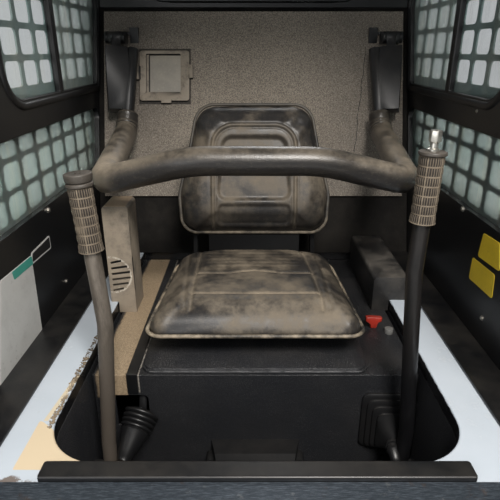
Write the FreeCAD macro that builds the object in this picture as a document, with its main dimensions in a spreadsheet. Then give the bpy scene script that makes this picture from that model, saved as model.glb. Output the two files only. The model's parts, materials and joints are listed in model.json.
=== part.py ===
"""Operator station of a skid steer loader: cab, chassis section, seat, lap bar and levers.

Millimetres. X is to the operator's station's right in the picture, Y runs from the open front
to the rear wall, Z is up. The origin is at the middle of the base, on the ground.
"""
import FreeCAD, Part
import math
import os
from FreeCAD import Placement, Rotation, Vector

doc = FreeCAD.newDocument("OperatorStation")
sheet = doc.addObject("Spreadsheet::Sheet", "Size")

# Driving dimensions: name, value in mm or degrees, what it measures
DRIVING = (
    ("half_width", 530, "outer half width of cab and chassis"),
    ("wall", 50, "thickness of a cab side"),
    ("front_y", -640, "front face of the chassis"),
    ("rear_y", 640, "rear face of the rear window frame"),
    ("sheet_metal", 8, "chassis plate"),
    ("belly_top", 8, "top of the belly plate"),
    ("deck_top", 450, "top of the painted deck plate"),
    ("chassis_rear", 440, "rear face of the chassis section"),
    ("well_half", 350, "half width of the opening in the deck"),
    ("well_front", -523, "front edge of the opening in the deck"),
    ("well_rear", 360, "rear edge of the opening in the deck"),
    ("well_corner", 110, "front corner radius of the opening"),
    ("lip_depth", 22, "rolled lip below the deck plate"),
    ("lip_wall", 6, "thickness of the lip and of the footwell"),
    ("well_floor", 70, "underside of the footwell's floor"),
    ("sill_half", 323, "half length of the sill bar"),
    ("sill_width", 34, "sill bar, front to rear"),
    ("sill_high", 12, "sill bar, height"),
    ("step_thick", 4, "worn step plate ahead of the sill"),
    ("ledge_wide", 70, "width of the cab's floor ledge"),
    ("ledge_thick", 6, "thickness of the floor ledge"),
    ("cab_front", -600, "foot of the front posts"),
    ("cab_front_top", -540, "head of the front posts"),
    ("roof_low", 1650, "underside of the roof's rim"),
    ("roof_thick", 40, "height of the roof pan"),
    ("roof_sheet", 8, "sheet of the roof pan"),
    ("wall_foot", 340, "front face of the rear wall at the deck"),
    ("wall_lean", 0.3725, "rearward run of the rear wall for each mm of height"),
    ("kink_z", 1160, "height where the rear wall turns upright"),
    ("liner_thick", 12, "thickness of the speckled liner"),
    ("liner_gap", 20, "gap between the liner and a cab side"),
    ("liner_low", 620, "lower edge of the liner"),
    ("liner_high", 1150, "upper edge of the liner"),
    ("post_width", 4, "rear post beside the side windows"),
    ("upper_low", 931, "lower edge of the upper side window"),
    ("upper_high", 1570, "upper edge of the upper side window"),
    ("upper_front", -110, "front edge of the upper side window"),
    ("upper_corner", 85, "lower front corner radius of that window"),
    ("lower_low", 706, "lower edge of the lower side screen"),
    ("lower_high", 877, "upper edge of the lower side screen"),
    ("lower_front", -430, "front edge of the lower side screen"),
    ("pane_corner", 25, "corner radius of the side openings"),
    ("gasket", 14, "width of the rubber gasket"),
    ("gasket_deep", 14, "depth of the rubber gasket"),
    ("pane", 5, "thickness of the glass"),
    ("divider_y", 200, "middle of the window divider"),
    ("divider", 26, "width of the window divider"),
    ("guard_sheet", 4, "thickness of the outer guard"),
    ("guard_rim", 8, "plain rim of the guard inside its opening"),
    ("guard_least", 20, "narrowest hole left beside the rim"),
    ("guard_row", 961, "height of one row of bars of the guard"),
    ("guard_column", 31, "place of one column of bars along the cab"),
    ("guard_pitch_y", 88, "pitch of the guard holes along the cab"),
    ("guard_pitch_z", 64, "pitch of the guard holes up the cab"),
    ("guard_bar_y", 18, "bar between two guard holes along the cab"),
    ("guard_bar_z", 13, "bar between two guard holes up the cab"),
    ("rear_pane_half", 316, "half width of the rear window"),
    ("rear_pane_low", 1178, "lower edge of the rear window"),
    ("rear_pane_high", 1600, "upper edge of the rear window"),
    ("header", 50, "front header tube"),
    ("header_setback", 4, "front header behind the roof's front edge"),
    ("box_half", 335, "half width of the seat box"),
    ("box_front", -252, "front face of the seat box"),
    ("box_top", 420, "top of the seat box"),
    ("box_wall", 6, "sheet of the seat box"),
    ("panel_half", 236, "half width of the access panel"),
    ("panel_front", -250, "front edge of the access panel"),
    ("panel_rear", 200, "rear edge of the access panel"),
    ("panel_thick", 12, "height of the access panel"),
    ("panel_corner", 30, "corner radius of the access panel"),
    ("trim_outer", 265, "outer edge of the black trim strip"),
    ("trim_width", 22, "width of the trim strip"),
    ("trim_thick", 4, "thickness of the trim strip"),
    ("trim_above", 8, "trim strip's lower end above the linkage cut-out"),
    ("cutout_low", 292, "lower edge of the linkage cut-out"),
    ("cutout_high", 370, "upper edge of the linkage cut-out"),
    ("cutout_inner", 224, "inner side of the linkage cut-out"),
    ("cutout_outer", 293, "outer side of the linkage cut-out"),
    ("hood_half", 95, "half width of the centre hood"),
    ("hood_top", 253, "top of the centre hood at the box"),
    ("hood_taper", 14, "narrowing of the hood on each side to its front"),
    ("hood_bevel", 16, "bevel along the hood's front edge"),
    ("hood_lug", 22, "diameter of the round lugs beside the hood"),
    ("hood_deep", 58, "reach of the centre hood"),
    ("hood_high", 80, "height of the centre hood"),
    ("boot_left_x", 238, "left boot, from the middle"),
    ("boot_left_z", 330, "height of the left boot's root"),
    ("boot_droop", 42, "fall of the left boot's axis"),
    ("boot_splay", 0.12, "sideways run of the left boot's axis"),
    ("boot_sleeve", 58, "diameter of the left boot's tapered sleeve beside its pleats"),
    ("boot_tip", 25, "diameter of the left boot's tip"),
    ("boot_long", 104, "reach of the left boot along its axis"),
    ("boot_rod", 18, "diameter of the linkage rod in the left boot"),
    ("boot_rod_rise", 38, "rise of the linkage rod above the boot's root"),
    ("boot_right_z", 309, "height of the right boot's middle"),
    ("boot_corner", 14, "corner radius of the right boot's steps"),
    ("boot_nose", 22, "tip diameter of the right boot"),
    ("boot_nose_long", 42, "length of the right boot's tip"),
    ("rail_x", 150, "distance of each seat rail from the middle"),
    ("rail_width", 36, "width of a seat rail"),
    ("rail_high", 20, "height of a seat rail"),
    ("rail_front", -115, "front end of the seat rails"),
    ("rail_long", 300, "length of a seat rail"),
    ("seat_gap", 0.5, "running gap between rail and seat pan"),
    ("pan_setback", 57, "seat pan behind the cushion's front"),
    ("pan_inset", 30, "seat pan inside the cushion's side"),
    ("pan_overhang", 14, "seat pan behind the cushion"),
    ("plate_gap", 2, "gap between the cushion and the rear upstand"),
    ("plate_top", 568, "top of the rear upstand"),
    ("plate_thick", 8, "thickness of the rear upstand"),
    ("plate_half", 125, "half width of the rear upstand"),
    ("cushion_front", -222, "front of the seat cushion"),
    ("cushion_rear", 180, "rear of the seat cushion"),
    ("cushion_half", 229, "half width of the cushion at the front"),
    ("cushion_half_rear", 205, "half width of the cushion at the rear"),
    ("cushion_low", 484, "underside of the cushion"),
    ("cushion_thick", 71, "thickness of the cushion"),
    ("cushion_corner", 30, "front corner radius of the cushion"),
    ("back_low", 585, "height of the backrest's lower edge"),
    ("back_y", 152, "front face of the backrest at its lower edge"),
    ("back_lean", 16.7, "lean of the backrest"),
    ("back_length", 345, "length of the backrest"),
    ("back_half_low", 205, "half width of the backrest low down"),
    ("back_half_mid", 173, "half width of the backrest at two thirds"),
    ("back_half_top", 153, "half width of the backrest at the top"),
    ("back_thick", 68, "thickness of the backrest"),
    ("shell_thick", 12, "thickness of the backrest's shell"),
    ("pivot_x", 415, "lap bar pivot, from the middle"),
    ("pivot_y", 520, "lap bar pivot, front to rear"),
    ("pivot_z", 1075, "lap bar pivot, height"),
    ("elbow_x", 378, "elbow of the lap bar arm, from the middle"),
    ("elbow_y", 400, "elbow of the lap bar arm, front to rear"),
    ("elbow_z", 815, "elbow of the lap bar arm, height"),
    ("corner_x", 330, "front corner of the lap bar, from the middle"),
    ("corner_y", -45, "front corner of the lap bar, front to rear"),
    ("corner_z", 776, "front corner of the lap bar, height"),
    ("bar_x", 140, "half length of the straight middle of the bar"),
    ("bar_y", -70, "straight middle of the bar, front to rear"),
    ("bar_z", 824, "straight middle of the bar, height"),
    ("pad_start_z", 866, "height where the padding starts on an arm"),
    ("head_x", 366, "upper end of the arm's tube, from the middle"),
    ("bar_tube", 36, "lap bar tube diameter"),
    ("bar_pad", 63, "lap bar padding diameter"),
    ("arm_deep", 38, "depth of the flat channel of an arm"),
    ("arm_wide", 64, "width of that channel"),
    ("arm_low", 872, "height of the channel's lower end"),
    ("arm_foot_x", 399, "lower end of the channel, from the middle"),
    ("pin", 18, "diameter of the pivot pins"),
    ("ear_wide", 26, "width of the bolted ear beside a clevis"),
    ("ear_rise", 12, "rise of that ear above the clevis"),
    ("ear_proud", 6, "thickness of that ear at mid-height"),
    ("pin_gap", 0.3, "running gap round a pin"),
    ("boss", 34, "diameter of the lap bar's boss"),
    ("neck_wide", 26, "width of the arm between its pivot and its flat channel"),
    ("boss_long", 40, "length of the lap bar's boss"),
    ("cheek", 8, "thickness of a clevis cheek"),
    ("lever_y", -310, "plane of both levers"),
    ("lever_pivot_z", 190, "height of the lever pivots"),
    ("lever_pivot_x", 300, "lever pivots, from the middle"),
    ("lever_tube", 29, "lever tube diameter"),
    ("lever_bend", 150, "bend radius of the lever tubes"),
    ("lever_eye", 36, "lever eye diameter"),
    ("lever_eye_long", 36, "lever eye length"),
    ("grip", 39, "lever grip diameter"),
    ("grip_long", 120, "lever grip length"),
    ("grip_collar", 8, "height of the collar at a grip's upper end"),
    ("cap", 46, "diameter of the left lever's cap"),
    ("cap_high", 15, "height of the left lever's cap"),
    ("stub", 20, "diameter of the right lever's stub"),
    ("stub_high", 33, "height of the right lever's stub"),
    ("duct_inner", 299, "inner side of the left duct box"),
    ("duct_outer", 360, "outer side of the left duct box"),
    ("duct_front", 14, "front face of the left duct box"),
    ("duct_top", 701, "top of the left duct box"),
    ("duct_deep", 87, "depth of the left duct box"),
    ("case_inner", 300, "inner side of the right case"),
    ("case_outer", 390, "outer side of the right case"),
    ("case_front", 23, "front face of the right case"),
    ("case_top", 512, "top of the right case"),
    ("frame_x", -273, "middle of the pocket frame on the liner"),
    ("frame_z", 964, "height of the pocket frame's middle"),
    ("frame_size", 152, "outer size of the pocket frame"),
    ("frame_border", 20, "border of the pocket frame"),
    ("frame_thick", 10, "thickness of the pocket frame"),
    ("ear_bore", 30, "bore of a cab hinge ear"),
    ("ear_size", 90, "diameter of a cab hinge ear"),
    ("ear_long", 50, "length of a cab hinge ear"),
    ("ear_reach", 56, "cab hinge bore behind the rear wall"),
    ("ear_z", 508, "cab hinge ears, height"),
    ("knob_x", 285, "red wing knob, from the middle"),
    ("knob_y", -60, "red wing knob, front to rear"),
    ("knob_stem", 16, "stem diameter of the wing knob"),
    ("knob_stand", 10, "stem height of the wing knob"),
    ("knob_wing", 40, "length of the knob's wings"),
    ("knob_high", 20, "height of the knob's wings"),
    ("button", 20, "diameter of the round button"),
    ("button_high", 12, "height of the round button"),
    ("button_x", 316, "round button, from the middle"),
    ("button_y", -86, "round button, front to rear"),
    ("louvre_low", 478, "lowest louvre of the duct box"),
    ("louvre_pitch", 15, "pitch of the louvres"),
    ("louvre_wide", 46, "width of the louvres"),
    ("louvre_high", 6, "height of a louvre"),
    ("louvre_deep", 8, "depth of a louvre"),
    ("strap_inset", 33, "seat strap inside the pan's side"),
    ("strap_wide", 12, "width of a seat strap"),
    ("strap_thick", 10, "thickness of a strap behind the backrest"),
    ("strap_foot", 30, "height of a strap's foot"),
    ("strap_top", 720, "height of a strap's upper end"),
)


class Sizes:
    """The sheet's values, read back as attributes."""


size = Sizes()
for row, (alias, value, _meaning) in enumerate(DRIVING, start=1):
    sheet.set(f"A{row}", alias)
    sheet.set(f"B{row}", str(value))
    sheet.setAlias(f"B{row}", alias)
doc.recompute()
for alias, _value, _meaning in DRIVING:
    setattr(size, alias, float(sheet.get(alias)))

SIDES = (("left", -1), ("right", 1))
nodes = []


def keep(item, name):
    """Registers a finished sub-part under its node name."""
    item.Label = name
    nodes.append(item)
    return item


def pair(low, high, sign=1):
    """Two expressions in ascending order, mirrored to the left when sign is -1."""
    return (low, high) if sign > 0 else (f"-({high})", f"-({low})")


def block(name, x, y, z):
    """A box between three pairs of expressions."""
    item = doc.addObject("Part::Box", name)
    for (low, high), edge, axis in zip((x, y, z), ("Length", "Width", "Height"), "xyz"):
        item.setExpression(edge, f"({high}) - ({low})")
        item.setExpression(f"Placement.Base.{axis}", low)
    return item


def rod(name, diameter, length, base, turn=(Vector(0, 0, 1), 0)):
    """A cylinder whose base point is three expressions; turn swings it from +Z."""
    item = doc.addObject("Part::Cylinder", name)
    item.setExpression("Radius", f"({diameter}) / 2")
    item.setExpression("Height", length)
    item.Placement = Placement(Vector(), Rotation(*turn))
    for axis, place in zip("xyz", base):
        item.setExpression(f"Placement.Base.{axis}", place)
    return item


def joined(name, parts):
    item = doc.addObject("Part::MultiFuse", name)
    item.Shapes = parts
    return item


def together(name, parts):
    """Like pieces that don't touch, kept as one node."""
    item = doc.addObject("Part::Compound", name)
    item.Links = parts
    return item


def less(name, base, tool):
    item = doc.addObject("Part::Cut", name)
    item.Base = base
    item.Tool = tool
    return item


def outline(points, radii):
    """Lines and arcs of a closed outline in the sketch plane, each corner rounded."""
    corners = []
    count = len(points)
    for index, ((across, along), radius) in enumerate(zip(points, radii)):
        corner = Vector(across, along, 0)
        back = Vector(*points[index - 1], 0) - corner
        ahead = Vector(*points[(index + 1) % count], 0) - corner
        back.normalize()
        ahead.normalize()
        half = back.getAngle(ahead) / 2
        reach = radius / math.tan(half)
        inward = back + ahead
        inward.normalize()
        middle = corner + inward * (radius / math.sin(half) - radius)
        corners.append((corner + back * reach, middle, corner + ahead * reach, radius))
    curves = []
    for index, (start, middle, end, radius) in enumerate(corners):
        if radius > 0:
            curves.append(Part.Arc(start, middle, end))
        following = corners[(index + 1) % count][0]
        if end.distanceToPoint(following) > 0.001:
            curves.append(Part.LineSegment(end, following))
    return curves


def rectangle(low, high, radius=0):
    """A rounded rectangle between two corners of the sketch plane."""
    (left, bottom), (right, top) = low, high
    points = ((left, bottom), (right, bottom), (right, top), (left, top))
    return outline(points, (radius,) * 4)


def start_body(name):
    return doc.addObject("PartDesign::Body", name)


def sketch_on(body, plane, loops, offset):
    """A sketch on the body's own origin plane, moved along its normal by an expression."""
    count = len(body.Group)
    sketch = body.newObject("Sketcher::SketchObject", f"{body.Name}_outline{count}")
    support = next(item for item in body.Origin.OriginFeatures if item.Role == plane)
    sketch.AttachmentSupport = (support, [""])
    sketch.MapMode = "FlatFace"
    sketch.setExpression("AttachmentOffset.Base.z", offset)
    for loop in loops:
        sketch.addGeometry(loop, False)
    return sketch


def pad(body, plane, loops, offset, length):
    """Adds material along the plane's normal, from offset over length."""
    profile = sketch_on(body, plane, loops, offset)
    item = body.newObject("PartDesign::Pad", f"{body.Name}_pad{len(body.Group)}")
    item.Profile = profile
    item.setExpression("Length", length)
    doc.recompute()
    return item


def pocket(body, plane, loops, offset, length):
    """Removes material against the plane's normal, from offset over length."""
    before = body.Shape.Volume
    profile = sketch_on(body, plane, loops, offset)
    item = body.newObject("PartDesign::Pocket", f"{body.Name}_pocket{len(body.Group)}")
    item.Profile = profile
    item.setExpression("Length", length)
    doc.recompute()
    if not body.Shape.Volume < before:
        raise RuntimeError(f"{body.Name}: a pocket cut nothing")
    return item


def level(edge, height, tolerance=0.01):
    """True where both ends and the middle of an edge lie at one height."""
    box = edge.BoundBox
    return abs(box.ZMin - height) < tolerance and abs(box.ZMax - height) < tolerance


def route(points, radii):
    """A wire of straight runs through the points, joined by tangent arcs."""
    edges = []
    last = points[0]
    for before, corner, after, radius in zip(points, points[1:], points[2:], radii):
        back = (before - corner).normalize()
        ahead = (after - corner).normalize()
        half = back.getAngle(ahead) / 2
        reach = radius / math.tan(half)
        middle = corner + (back + ahead).normalize() * (radius / math.sin(half) - radius)
        start = corner + back * reach
        end = corner + ahead * reach
        edges.append(Part.LineSegment(last, start).toShape())
        edges.append(Part.Arc(start, middle, end).toShape())
        last = end
    edges.append(Part.LineSegment(last, points[-1]).toShape())
    return Part.Wire(edges)


# How a tube passes the corners of its line: along tangent arcs, or mitred
TANGENT = 0
MITRED = 1


def tube_along(wire, diameter, corners=TANGENT):
    """A round bar along a wire."""
    first = wire.Edges[0]
    heading = first.tangentAt(first.FirstParameter)
    ring = Part.Wire(Part.makeCircle(diameter / 2, first.valueAt(first.FirstParameter), heading))
    return wire.makePipeShell([ring], True, False, corners)


def shaped(name, shape):
    """A plain feature for a form that neither sketches nor primitives give."""
    item = doc.addObject("Part::Feature", name)
    item.Shape = shape
    return item


def wall_y(height):
    """Front face of the rear wall at a height."""
    return size.wall_foot + size.wall_lean * (min(height, size.kink_z) - size.deck_top)


WALL_THICK = size.rear_y - wall_y(size.kink_z)
INNER_HALF = "Size.half_width - Size.wall"
LINER_HALF = "Size.half_width - Size.wall - Size.liner_gap"


def well_outline(shrink):
    """The opening in the deck, moved inward."""
    half = size.well_half - shrink
    front = size.well_front + shrink
    rear = size.well_rear - shrink
    corner = size.well_corner - shrink
    points = ((-half, front), (half, front), (half, rear), (-half, rear))
    return outline(points, (corner, corner, 0, 0))


def make_chassis():
    """Painted deck with its rolled lip, side, front, rear and belly plates."""
    deck = start_body("chassis_deck")
    outer = rectangle((-size.half_width, size.front_y), (size.half_width, size.chassis_rear))
    pad(deck, "XY_Plane", (outer, well_outline(0)), "Size.deck_top - Size.sheet_metal",
        "Size.sheet_metal")
    pad(deck, "XY_Plane", (well_outline(0), well_outline(size.lip_wall)),
        "Size.deck_top - Size.sheet_metal - Size.lip_depth", "Size.sheet_metal + Size.lip_depth")
    keep(deck, "chassis_deck")
    under = ("Size.belly_top", "Size.deck_top - Size.sheet_metal")
    plates = []
    for side, sign in SIDES:
        x = pair("Size.half_width - Size.sheet_metal", "Size.half_width", sign)
        plates.append(block(f"side_plate_{side}", x, ("Size.front_y", "Size.chassis_rear"), under))
    keep(together("chassis_sides", plates), "chassis_sides")
    inside = ("-(Size.half_width - Size.sheet_metal)", "Size.half_width - Size.sheet_metal")
    front = block("chassis_front", inside, ("Size.front_y", "Size.front_y + Size.sheet_metal"), under)
    keep(front, "chassis_front")
    rear = block("chassis_rear", inside, ("Size.chassis_rear - Size.sheet_metal", "Size.chassis_rear"),
                 under)
    keep(rear, "chassis_rear")
    belly = block("belly_plate", ("-Size.half_width", "Size.half_width"),
                  ("Size.front_y", "Size.chassis_rear"), ("0", "Size.belly_top"))
    keep(belly, "belly_plate")


def make_footwell():
    """Open tub under the deck's lip, where the operator's feet rest."""
    tub = start_body("footwell")
    pad(tub, "XY_Plane", (well_outline(0),), "Size.well_floor", "Size.lip_wall")
    pad(tub, "XY_Plane", (well_outline(0), well_outline(size.lip_wall)), "Size.well_floor",
        "Size.deck_top - Size.sheet_metal - Size.lip_depth - Size.well_floor")
    keep(tub, "footwell")
    sill = block("sill_bar", ("-Size.sill_half", "Size.sill_half"),
                 ("Size.well_front - Size.sill_width", "Size.well_front"),
                 ("Size.deck_top", "Size.deck_top + Size.sill_high"))
    keep(sill, "sill_bar")
    step = block("step_plate", (f"-({INNER_HALF})", INNER_HALF),
                 ("Size.front_y", "Size.well_front - Size.sill_width"),
                 ("Size.deck_top", "Size.deck_top + Size.step_thick"))
    keep(step, "step_plate")


def upper_points(shrink=0):
    """Upper side window in the YZ plane, moved inward."""
    low = size.upper_low + shrink
    high = size.upper_high - shrink
    front = size.upper_front + shrink
    rear_low = wall_y(low) - size.post_width - shrink
    rear_kink = wall_y(size.kink_z) - size.post_width - shrink
    points = ((front, low), (rear_low, low), (rear_kink, size.kink_z), (rear_kink, high), (front, high))
    corner = max(size.pane_corner - shrink, 1)
    return points, (size.upper_corner - shrink, corner, 0, corner, corner)


def lower_points(shrink=0):
    """Lower side screen in the YZ plane, moved inward."""
    low = size.lower_low + shrink
    high = size.lower_high - shrink
    front = size.lower_front + shrink
    points = ((front, low), (wall_y(low) - size.post_width - shrink, low),
              (wall_y(high) - size.post_width - shrink, high), (front, high))
    return points, (max(size.pane_corner - shrink, 1),) * 4


def guard_holes(front, low, high, corner):
    """Holes of a guard plate, on the grid that both plates share, inside its rim and its corner."""
    bottom_edge = low + size.guard_rim
    top_edge = high - size.guard_rim
    front_edge = front + size.guard_rim
    rise = size.guard_pitch_z
    run = size.guard_pitch_y
    first_row = size.guard_row + rise * math.floor((low - size.guard_row) / rise)
    first_column = size.guard_column + run * math.floor((front - size.guard_column) / run)
    holes = []
    for row in range(math.ceil((high - first_row) / rise)):
        bottom = max(first_row + row * rise + size.guard_bar_z / 2, bottom_edge)
        top = min(first_row + (row + 1) * rise - size.guard_bar_z / 2, top_edge)
        if top - bottom < size.guard_least:
            continue
        edge = min(wall_y(bottom), wall_y(top)) - size.post_width - size.guard_rim
        below = max(low + corner - bottom, 0)
        rounded_edge = front + corner - math.sqrt((corner - size.guard_rim) ** 2 - below ** 2)
        for column in range(math.ceil((edge - first_column) / run)):
            left = max(first_column + column * run + size.guard_bar_y / 2, front_edge, rounded_edge)
            right = min(first_column + (column + 1) * run - size.guard_bar_y / 2, edge)
            if right - left >= size.guard_least:
                holes.append(rectangle((left, bottom), (right, top)))
    return holes


def make_cab_sides():
    """Each side: a frame with two openings, each with glass and a punched guard outside it."""
    outer = ((size.cab_front, size.deck_top), (wall_y(size.deck_top) + WALL_THICK, size.deck_top),
             (size.rear_y, size.kink_z), (size.rear_y, size.roof_low),
             (size.cab_front_top, size.roof_low))
    frame_radii = (0, 0, 0, 0, 60)
    for side, sign in SIDES:
        start = INNER_HALF if sign > 0 else "-Size.half_width"
        frame = start_body(f"cab_side_{side}")
        loops = (outline(outer, frame_radii), outline(*upper_points()), outline(*lower_points()))
        pad(frame, "YZ_Plane", loops, start, "Size.wall")
        keep(frame, f"cab_side_{side}")

        start = INNER_HALF if sign > 0 else f"-({INNER_HALF} + Size.gasket_deep)"
        gasket = start_body(f"window_gasket_{side}")
        pad(gasket, "YZ_Plane", (outline(*upper_points()), outline(*upper_points(size.gasket))),
            start, "Size.gasket_deep")
        bar = rectangle((size.divider_y - size.divider / 2, size.upper_low + size.gasket / 2),
                        (size.divider_y + size.divider / 2, size.upper_high - size.gasket / 2))
        pad(gasket, "YZ_Plane", (bar,), start, "Size.gasket_deep")
        keep(gasket, f"window_gasket_{side}")

        glass_at = f"{INNER_HALF} + Size.gasket_deep"
        start = glass_at if sign > 0 else f"-({glass_at} + Size.pane)"
        panes = []
        for place, points in (("upper", upper_points()), ("lower", lower_points())):
            glass = start_body(f"{place}_pane_{side}")
            pad(glass, "YZ_Plane", (outline(*points),), start, "Size.pane")
            panes.append(glass)
        keep(together(f"side_glass_{side}", panes), f"side_glass_{side}")

        guard_at = f"{glass_at} + Size.pane"
        start = guard_at if sign > 0 else f"-({guard_at} + Size.guard_sheet)"
        plates = []
        for place, points, front, low, high, corner in (
                ("upper", upper_points(), size.upper_front, size.upper_low, size.upper_high, size.upper_corner),
                ("lower", lower_points(), size.lower_front, size.lower_low, size.lower_high, size.pane_corner)):
            plate = start_body(f"{place}_guard_{side}")
            loops = [outline(*points)] + guard_holes(front, low, high, corner)
            pad(plate, "YZ_Plane", loops, start, "Size.guard_sheet")
            plates.append(plate)
        keep(together(f"side_guard_{side}", plates), f"side_guard_{side}")

    ledges = []
    for side, sign in SIDES:
        x = pair(f"{INNER_HALF} - Size.ledge_wide", INNER_HALF, sign)
        ledges.append(block(f"ledge_{side}", x, ("Size.well_front - Size.sill_width", "Size.wall_foot"),
                            ("Size.deck_top", "Size.deck_top + Size.ledge_thick")))
    keep(together("floor_ledges", ledges), "floor_ledges")


def leaning_slab(low, high, start, thick):
    """Outline in the YZ plane of a slab that follows the rear wall."""
    points = ((wall_y(low) + start, low), (wall_y(low) + start + thick, low),
              (wall_y(high) + start + thick, high), (wall_y(high) + start, high))
    return outline(points, (0,) * 4)


def make_rear():
    """Leaning rear wall, its liner, the upright window frame, gasket and glass."""
    wall = start_body("rear_wall")
    pad(wall, "YZ_Plane", (leaning_slab(size.deck_top, size.kink_z, 0, WALL_THICK),),
        f"-({INNER_HALF})", f"2 * ({INNER_HALF})")
    keep(wall, "rear_wall")
    liner = start_body("rear_liner")
    pad(liner, "YZ_Plane",
        (leaning_slab(size.liner_low, size.liner_high, -size.liner_thick, size.liner_thick),),
        f"-({LINER_HALF})", f"2 * ({LINER_HALF})")
    keep(liner, "rear_liner")
    inner = size.half_width - size.wall
    front_face = wall_y(size.kink_z)
    window = ((-size.rear_pane_half, size.rear_pane_low), (size.rear_pane_half, size.rear_pane_high))
    shrunk = ((-size.rear_pane_half + size.gasket, size.rear_pane_low + size.gasket),
              (size.rear_pane_half - size.gasket, size.rear_pane_high - size.gasket))
    frame = start_body("rear_window_frame")
    pad(frame, "XZ_Plane",
        (rectangle((-inner, size.kink_z), (inner, size.roof_low)), rectangle(*window, 40)),
        "-Size.rear_y", f"{WALL_THICK}")
    keep(frame, "rear_window_frame")
    gasket = start_body("rear_gasket")
    pad(gasket, "XZ_Plane", (rectangle(*window, 40), rectangle(*shrunk, 26)),
        f"-({front_face} + Size.gasket_deep)", "Size.gasket_deep")
    keep(gasket, "rear_gasket")
    glass = start_body("rear_glass")
    pad(glass, "XZ_Plane", (rectangle(*window, 40),),
        f"-({front_face} + Size.gasket_deep + Size.pane)", "Size.pane")
    keep(glass, "rear_glass")


def make_roof():
    """Folded roof pan, open below, on the sides and the front header tube."""
    whole = block("roof_pan", ("-Size.half_width", "Size.half_width"),
                  ("Size.cab_front_top", "Size.rear_y"),
                  ("Size.roof_low", "Size.roof_low + Size.roof_thick"))
    hollow = block("roof_hollow", (f"-({INNER_HALF})", INNER_HALF),
                   ("Size.cab_front_top + Size.wall", "Size.rear_y - Size.wall"),
                   ("Size.roof_low", "Size.roof_low + Size.roof_thick - Size.roof_sheet"))
    keep(less("roof", whole, hollow), "roof")
    header_front = "Size.cab_front_top + Size.header_setback"
    header = block("front_header", (f"-({INNER_HALF})", INNER_HALF),
                   (header_front, f"{header_front} + Size.header"),
                   ("Size.roof_low - Size.header", "Size.roof_low"))
    keep(header, "front_header")


def make_seat_box():
    """Box under the seat with the linkage cut-out, access panel, trim strip and hood."""
    outer = block("seat_box_outer", ("-Size.box_half", "Size.box_half"),
                  ("Size.box_front", "Size.well_rear - Size.lip_wall"),
                  ("Size.well_floor + Size.lip_wall", "Size.box_top"))
    hollow = block("seat_box_hollow", ("-(Size.box_half - Size.box_wall)", "Size.box_half - Size.box_wall"),
                   ("Size.box_front + Size.box_wall", "Size.well_rear - Size.lip_wall - Size.box_wall"),
                   ("Size.well_floor + Size.lip_wall", "Size.box_top - Size.box_wall"))
    shell = less("seat_box_shell", outer, hollow)
    cutout = block("seat_box_cutout", pair("Size.cutout_inner", "Size.cutout_outer", -1),
                   ("Size.box_front - 1", "Size.box_front + Size.box_wall + 1"),
                   ("Size.cutout_low", "Size.cutout_high"))
    keep(less("seat_box", shell, cutout), "seat_box")

    panel = start_body("access_panel")
    points = ((-size.panel_half, size.panel_front), (size.panel_half, size.panel_front),
              (size.panel_half, size.panel_rear), (-size.panel_half, size.panel_rear))
    pad(panel, "XY_Plane", (outline(points, (size.panel_corner,) * 4),), "Size.box_top",
        "Size.panel_thick / 2")
    step = size.panel_thick / 3
    raised = ((-size.panel_half + step, size.panel_front + step), (size.panel_half - step, size.panel_front + step),
              (size.panel_half - step, size.panel_rear - step), (-size.panel_half + step, size.panel_rear - step))
    pad(panel, "XY_Plane", (outline(raised, (size.panel_corner - step,) * 4),), "Size.box_top",
        "Size.panel_thick")
    keep(panel, "access_panel")

    strip = start_body("trim_strip")
    low = size.cutout_high + size.trim_above
    fold = ((size.box_front - size.trim_thick, low), (size.box_front, low),
            (size.box_front, size.box_top), (0, size.box_top), (0, size.box_top + size.trim_thick),
            (size.box_front - size.trim_thick, size.box_top + size.trim_thick))
    pad(strip, "YZ_Plane", (outline(fold, (0,) * 6),), "-Size.trim_outer", "Size.trim_width")
    keep(strip, "trim_strip")

    hood = start_body("hood_cover")
    front = size.box_front - size.hood_deep
    narrow = size.hood_half - size.hood_taper
    plan = ((-size.hood_half, size.box_front), (-narrow, front), (narrow, front),
            (size.hood_half, size.box_front))
    cover = pad(hood, "XY_Plane", (outline(plan, (0,) * 4),), "Size.hood_top - Size.hood_high",
                "Size.hood_high")
    names = [f"Edge{number}" for number, edge in enumerate(cover.Shape.Edges, start=1)
             if level(edge, size.hood_top) and edge.BoundBox.YMax < front + 0.01]
    bevel = hood.newObject("PartDesign::Chamfer", "hood_cover_bevel")
    bevel.Base = (cover, names)
    bevel.setExpression("Size", "Size.hood_bevel")
    doc.recompute()
    lugs = []
    for side, sign in SIDES:
        lug = rod(f"hood_lug_{side}", "Size.hood_lug", "Size.hood_deep / 2",
                  (f"{sign} * Size.hood_half", "Size.box_front", "Size.hood_top - Size.hood_high / 2"),
                  (Vector(1, 0, 0), 90))
        lugs.append(lug)
    keep(joined("hood_with_lugs", [hood] + lugs), "footwell_hood")


# Left boot's pleats: diameter, near and far reach along the boot's axis
FOLDS = (
    (74, -20, 12),
    (60, 12, 17),
    (70, 17, 27),
    (57, 27, 31),
    (65, 31, 41),
)

# Right boot's steps: middle across, half width, half height, near and far reach before the box
STEPS = (
    (277, 48, 68, 0, 8),
    (278, 40, 56, 8, 14),
    (266, 30, 46, 14, 20),
    (262, 21, 30, 20, 44),
)


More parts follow.
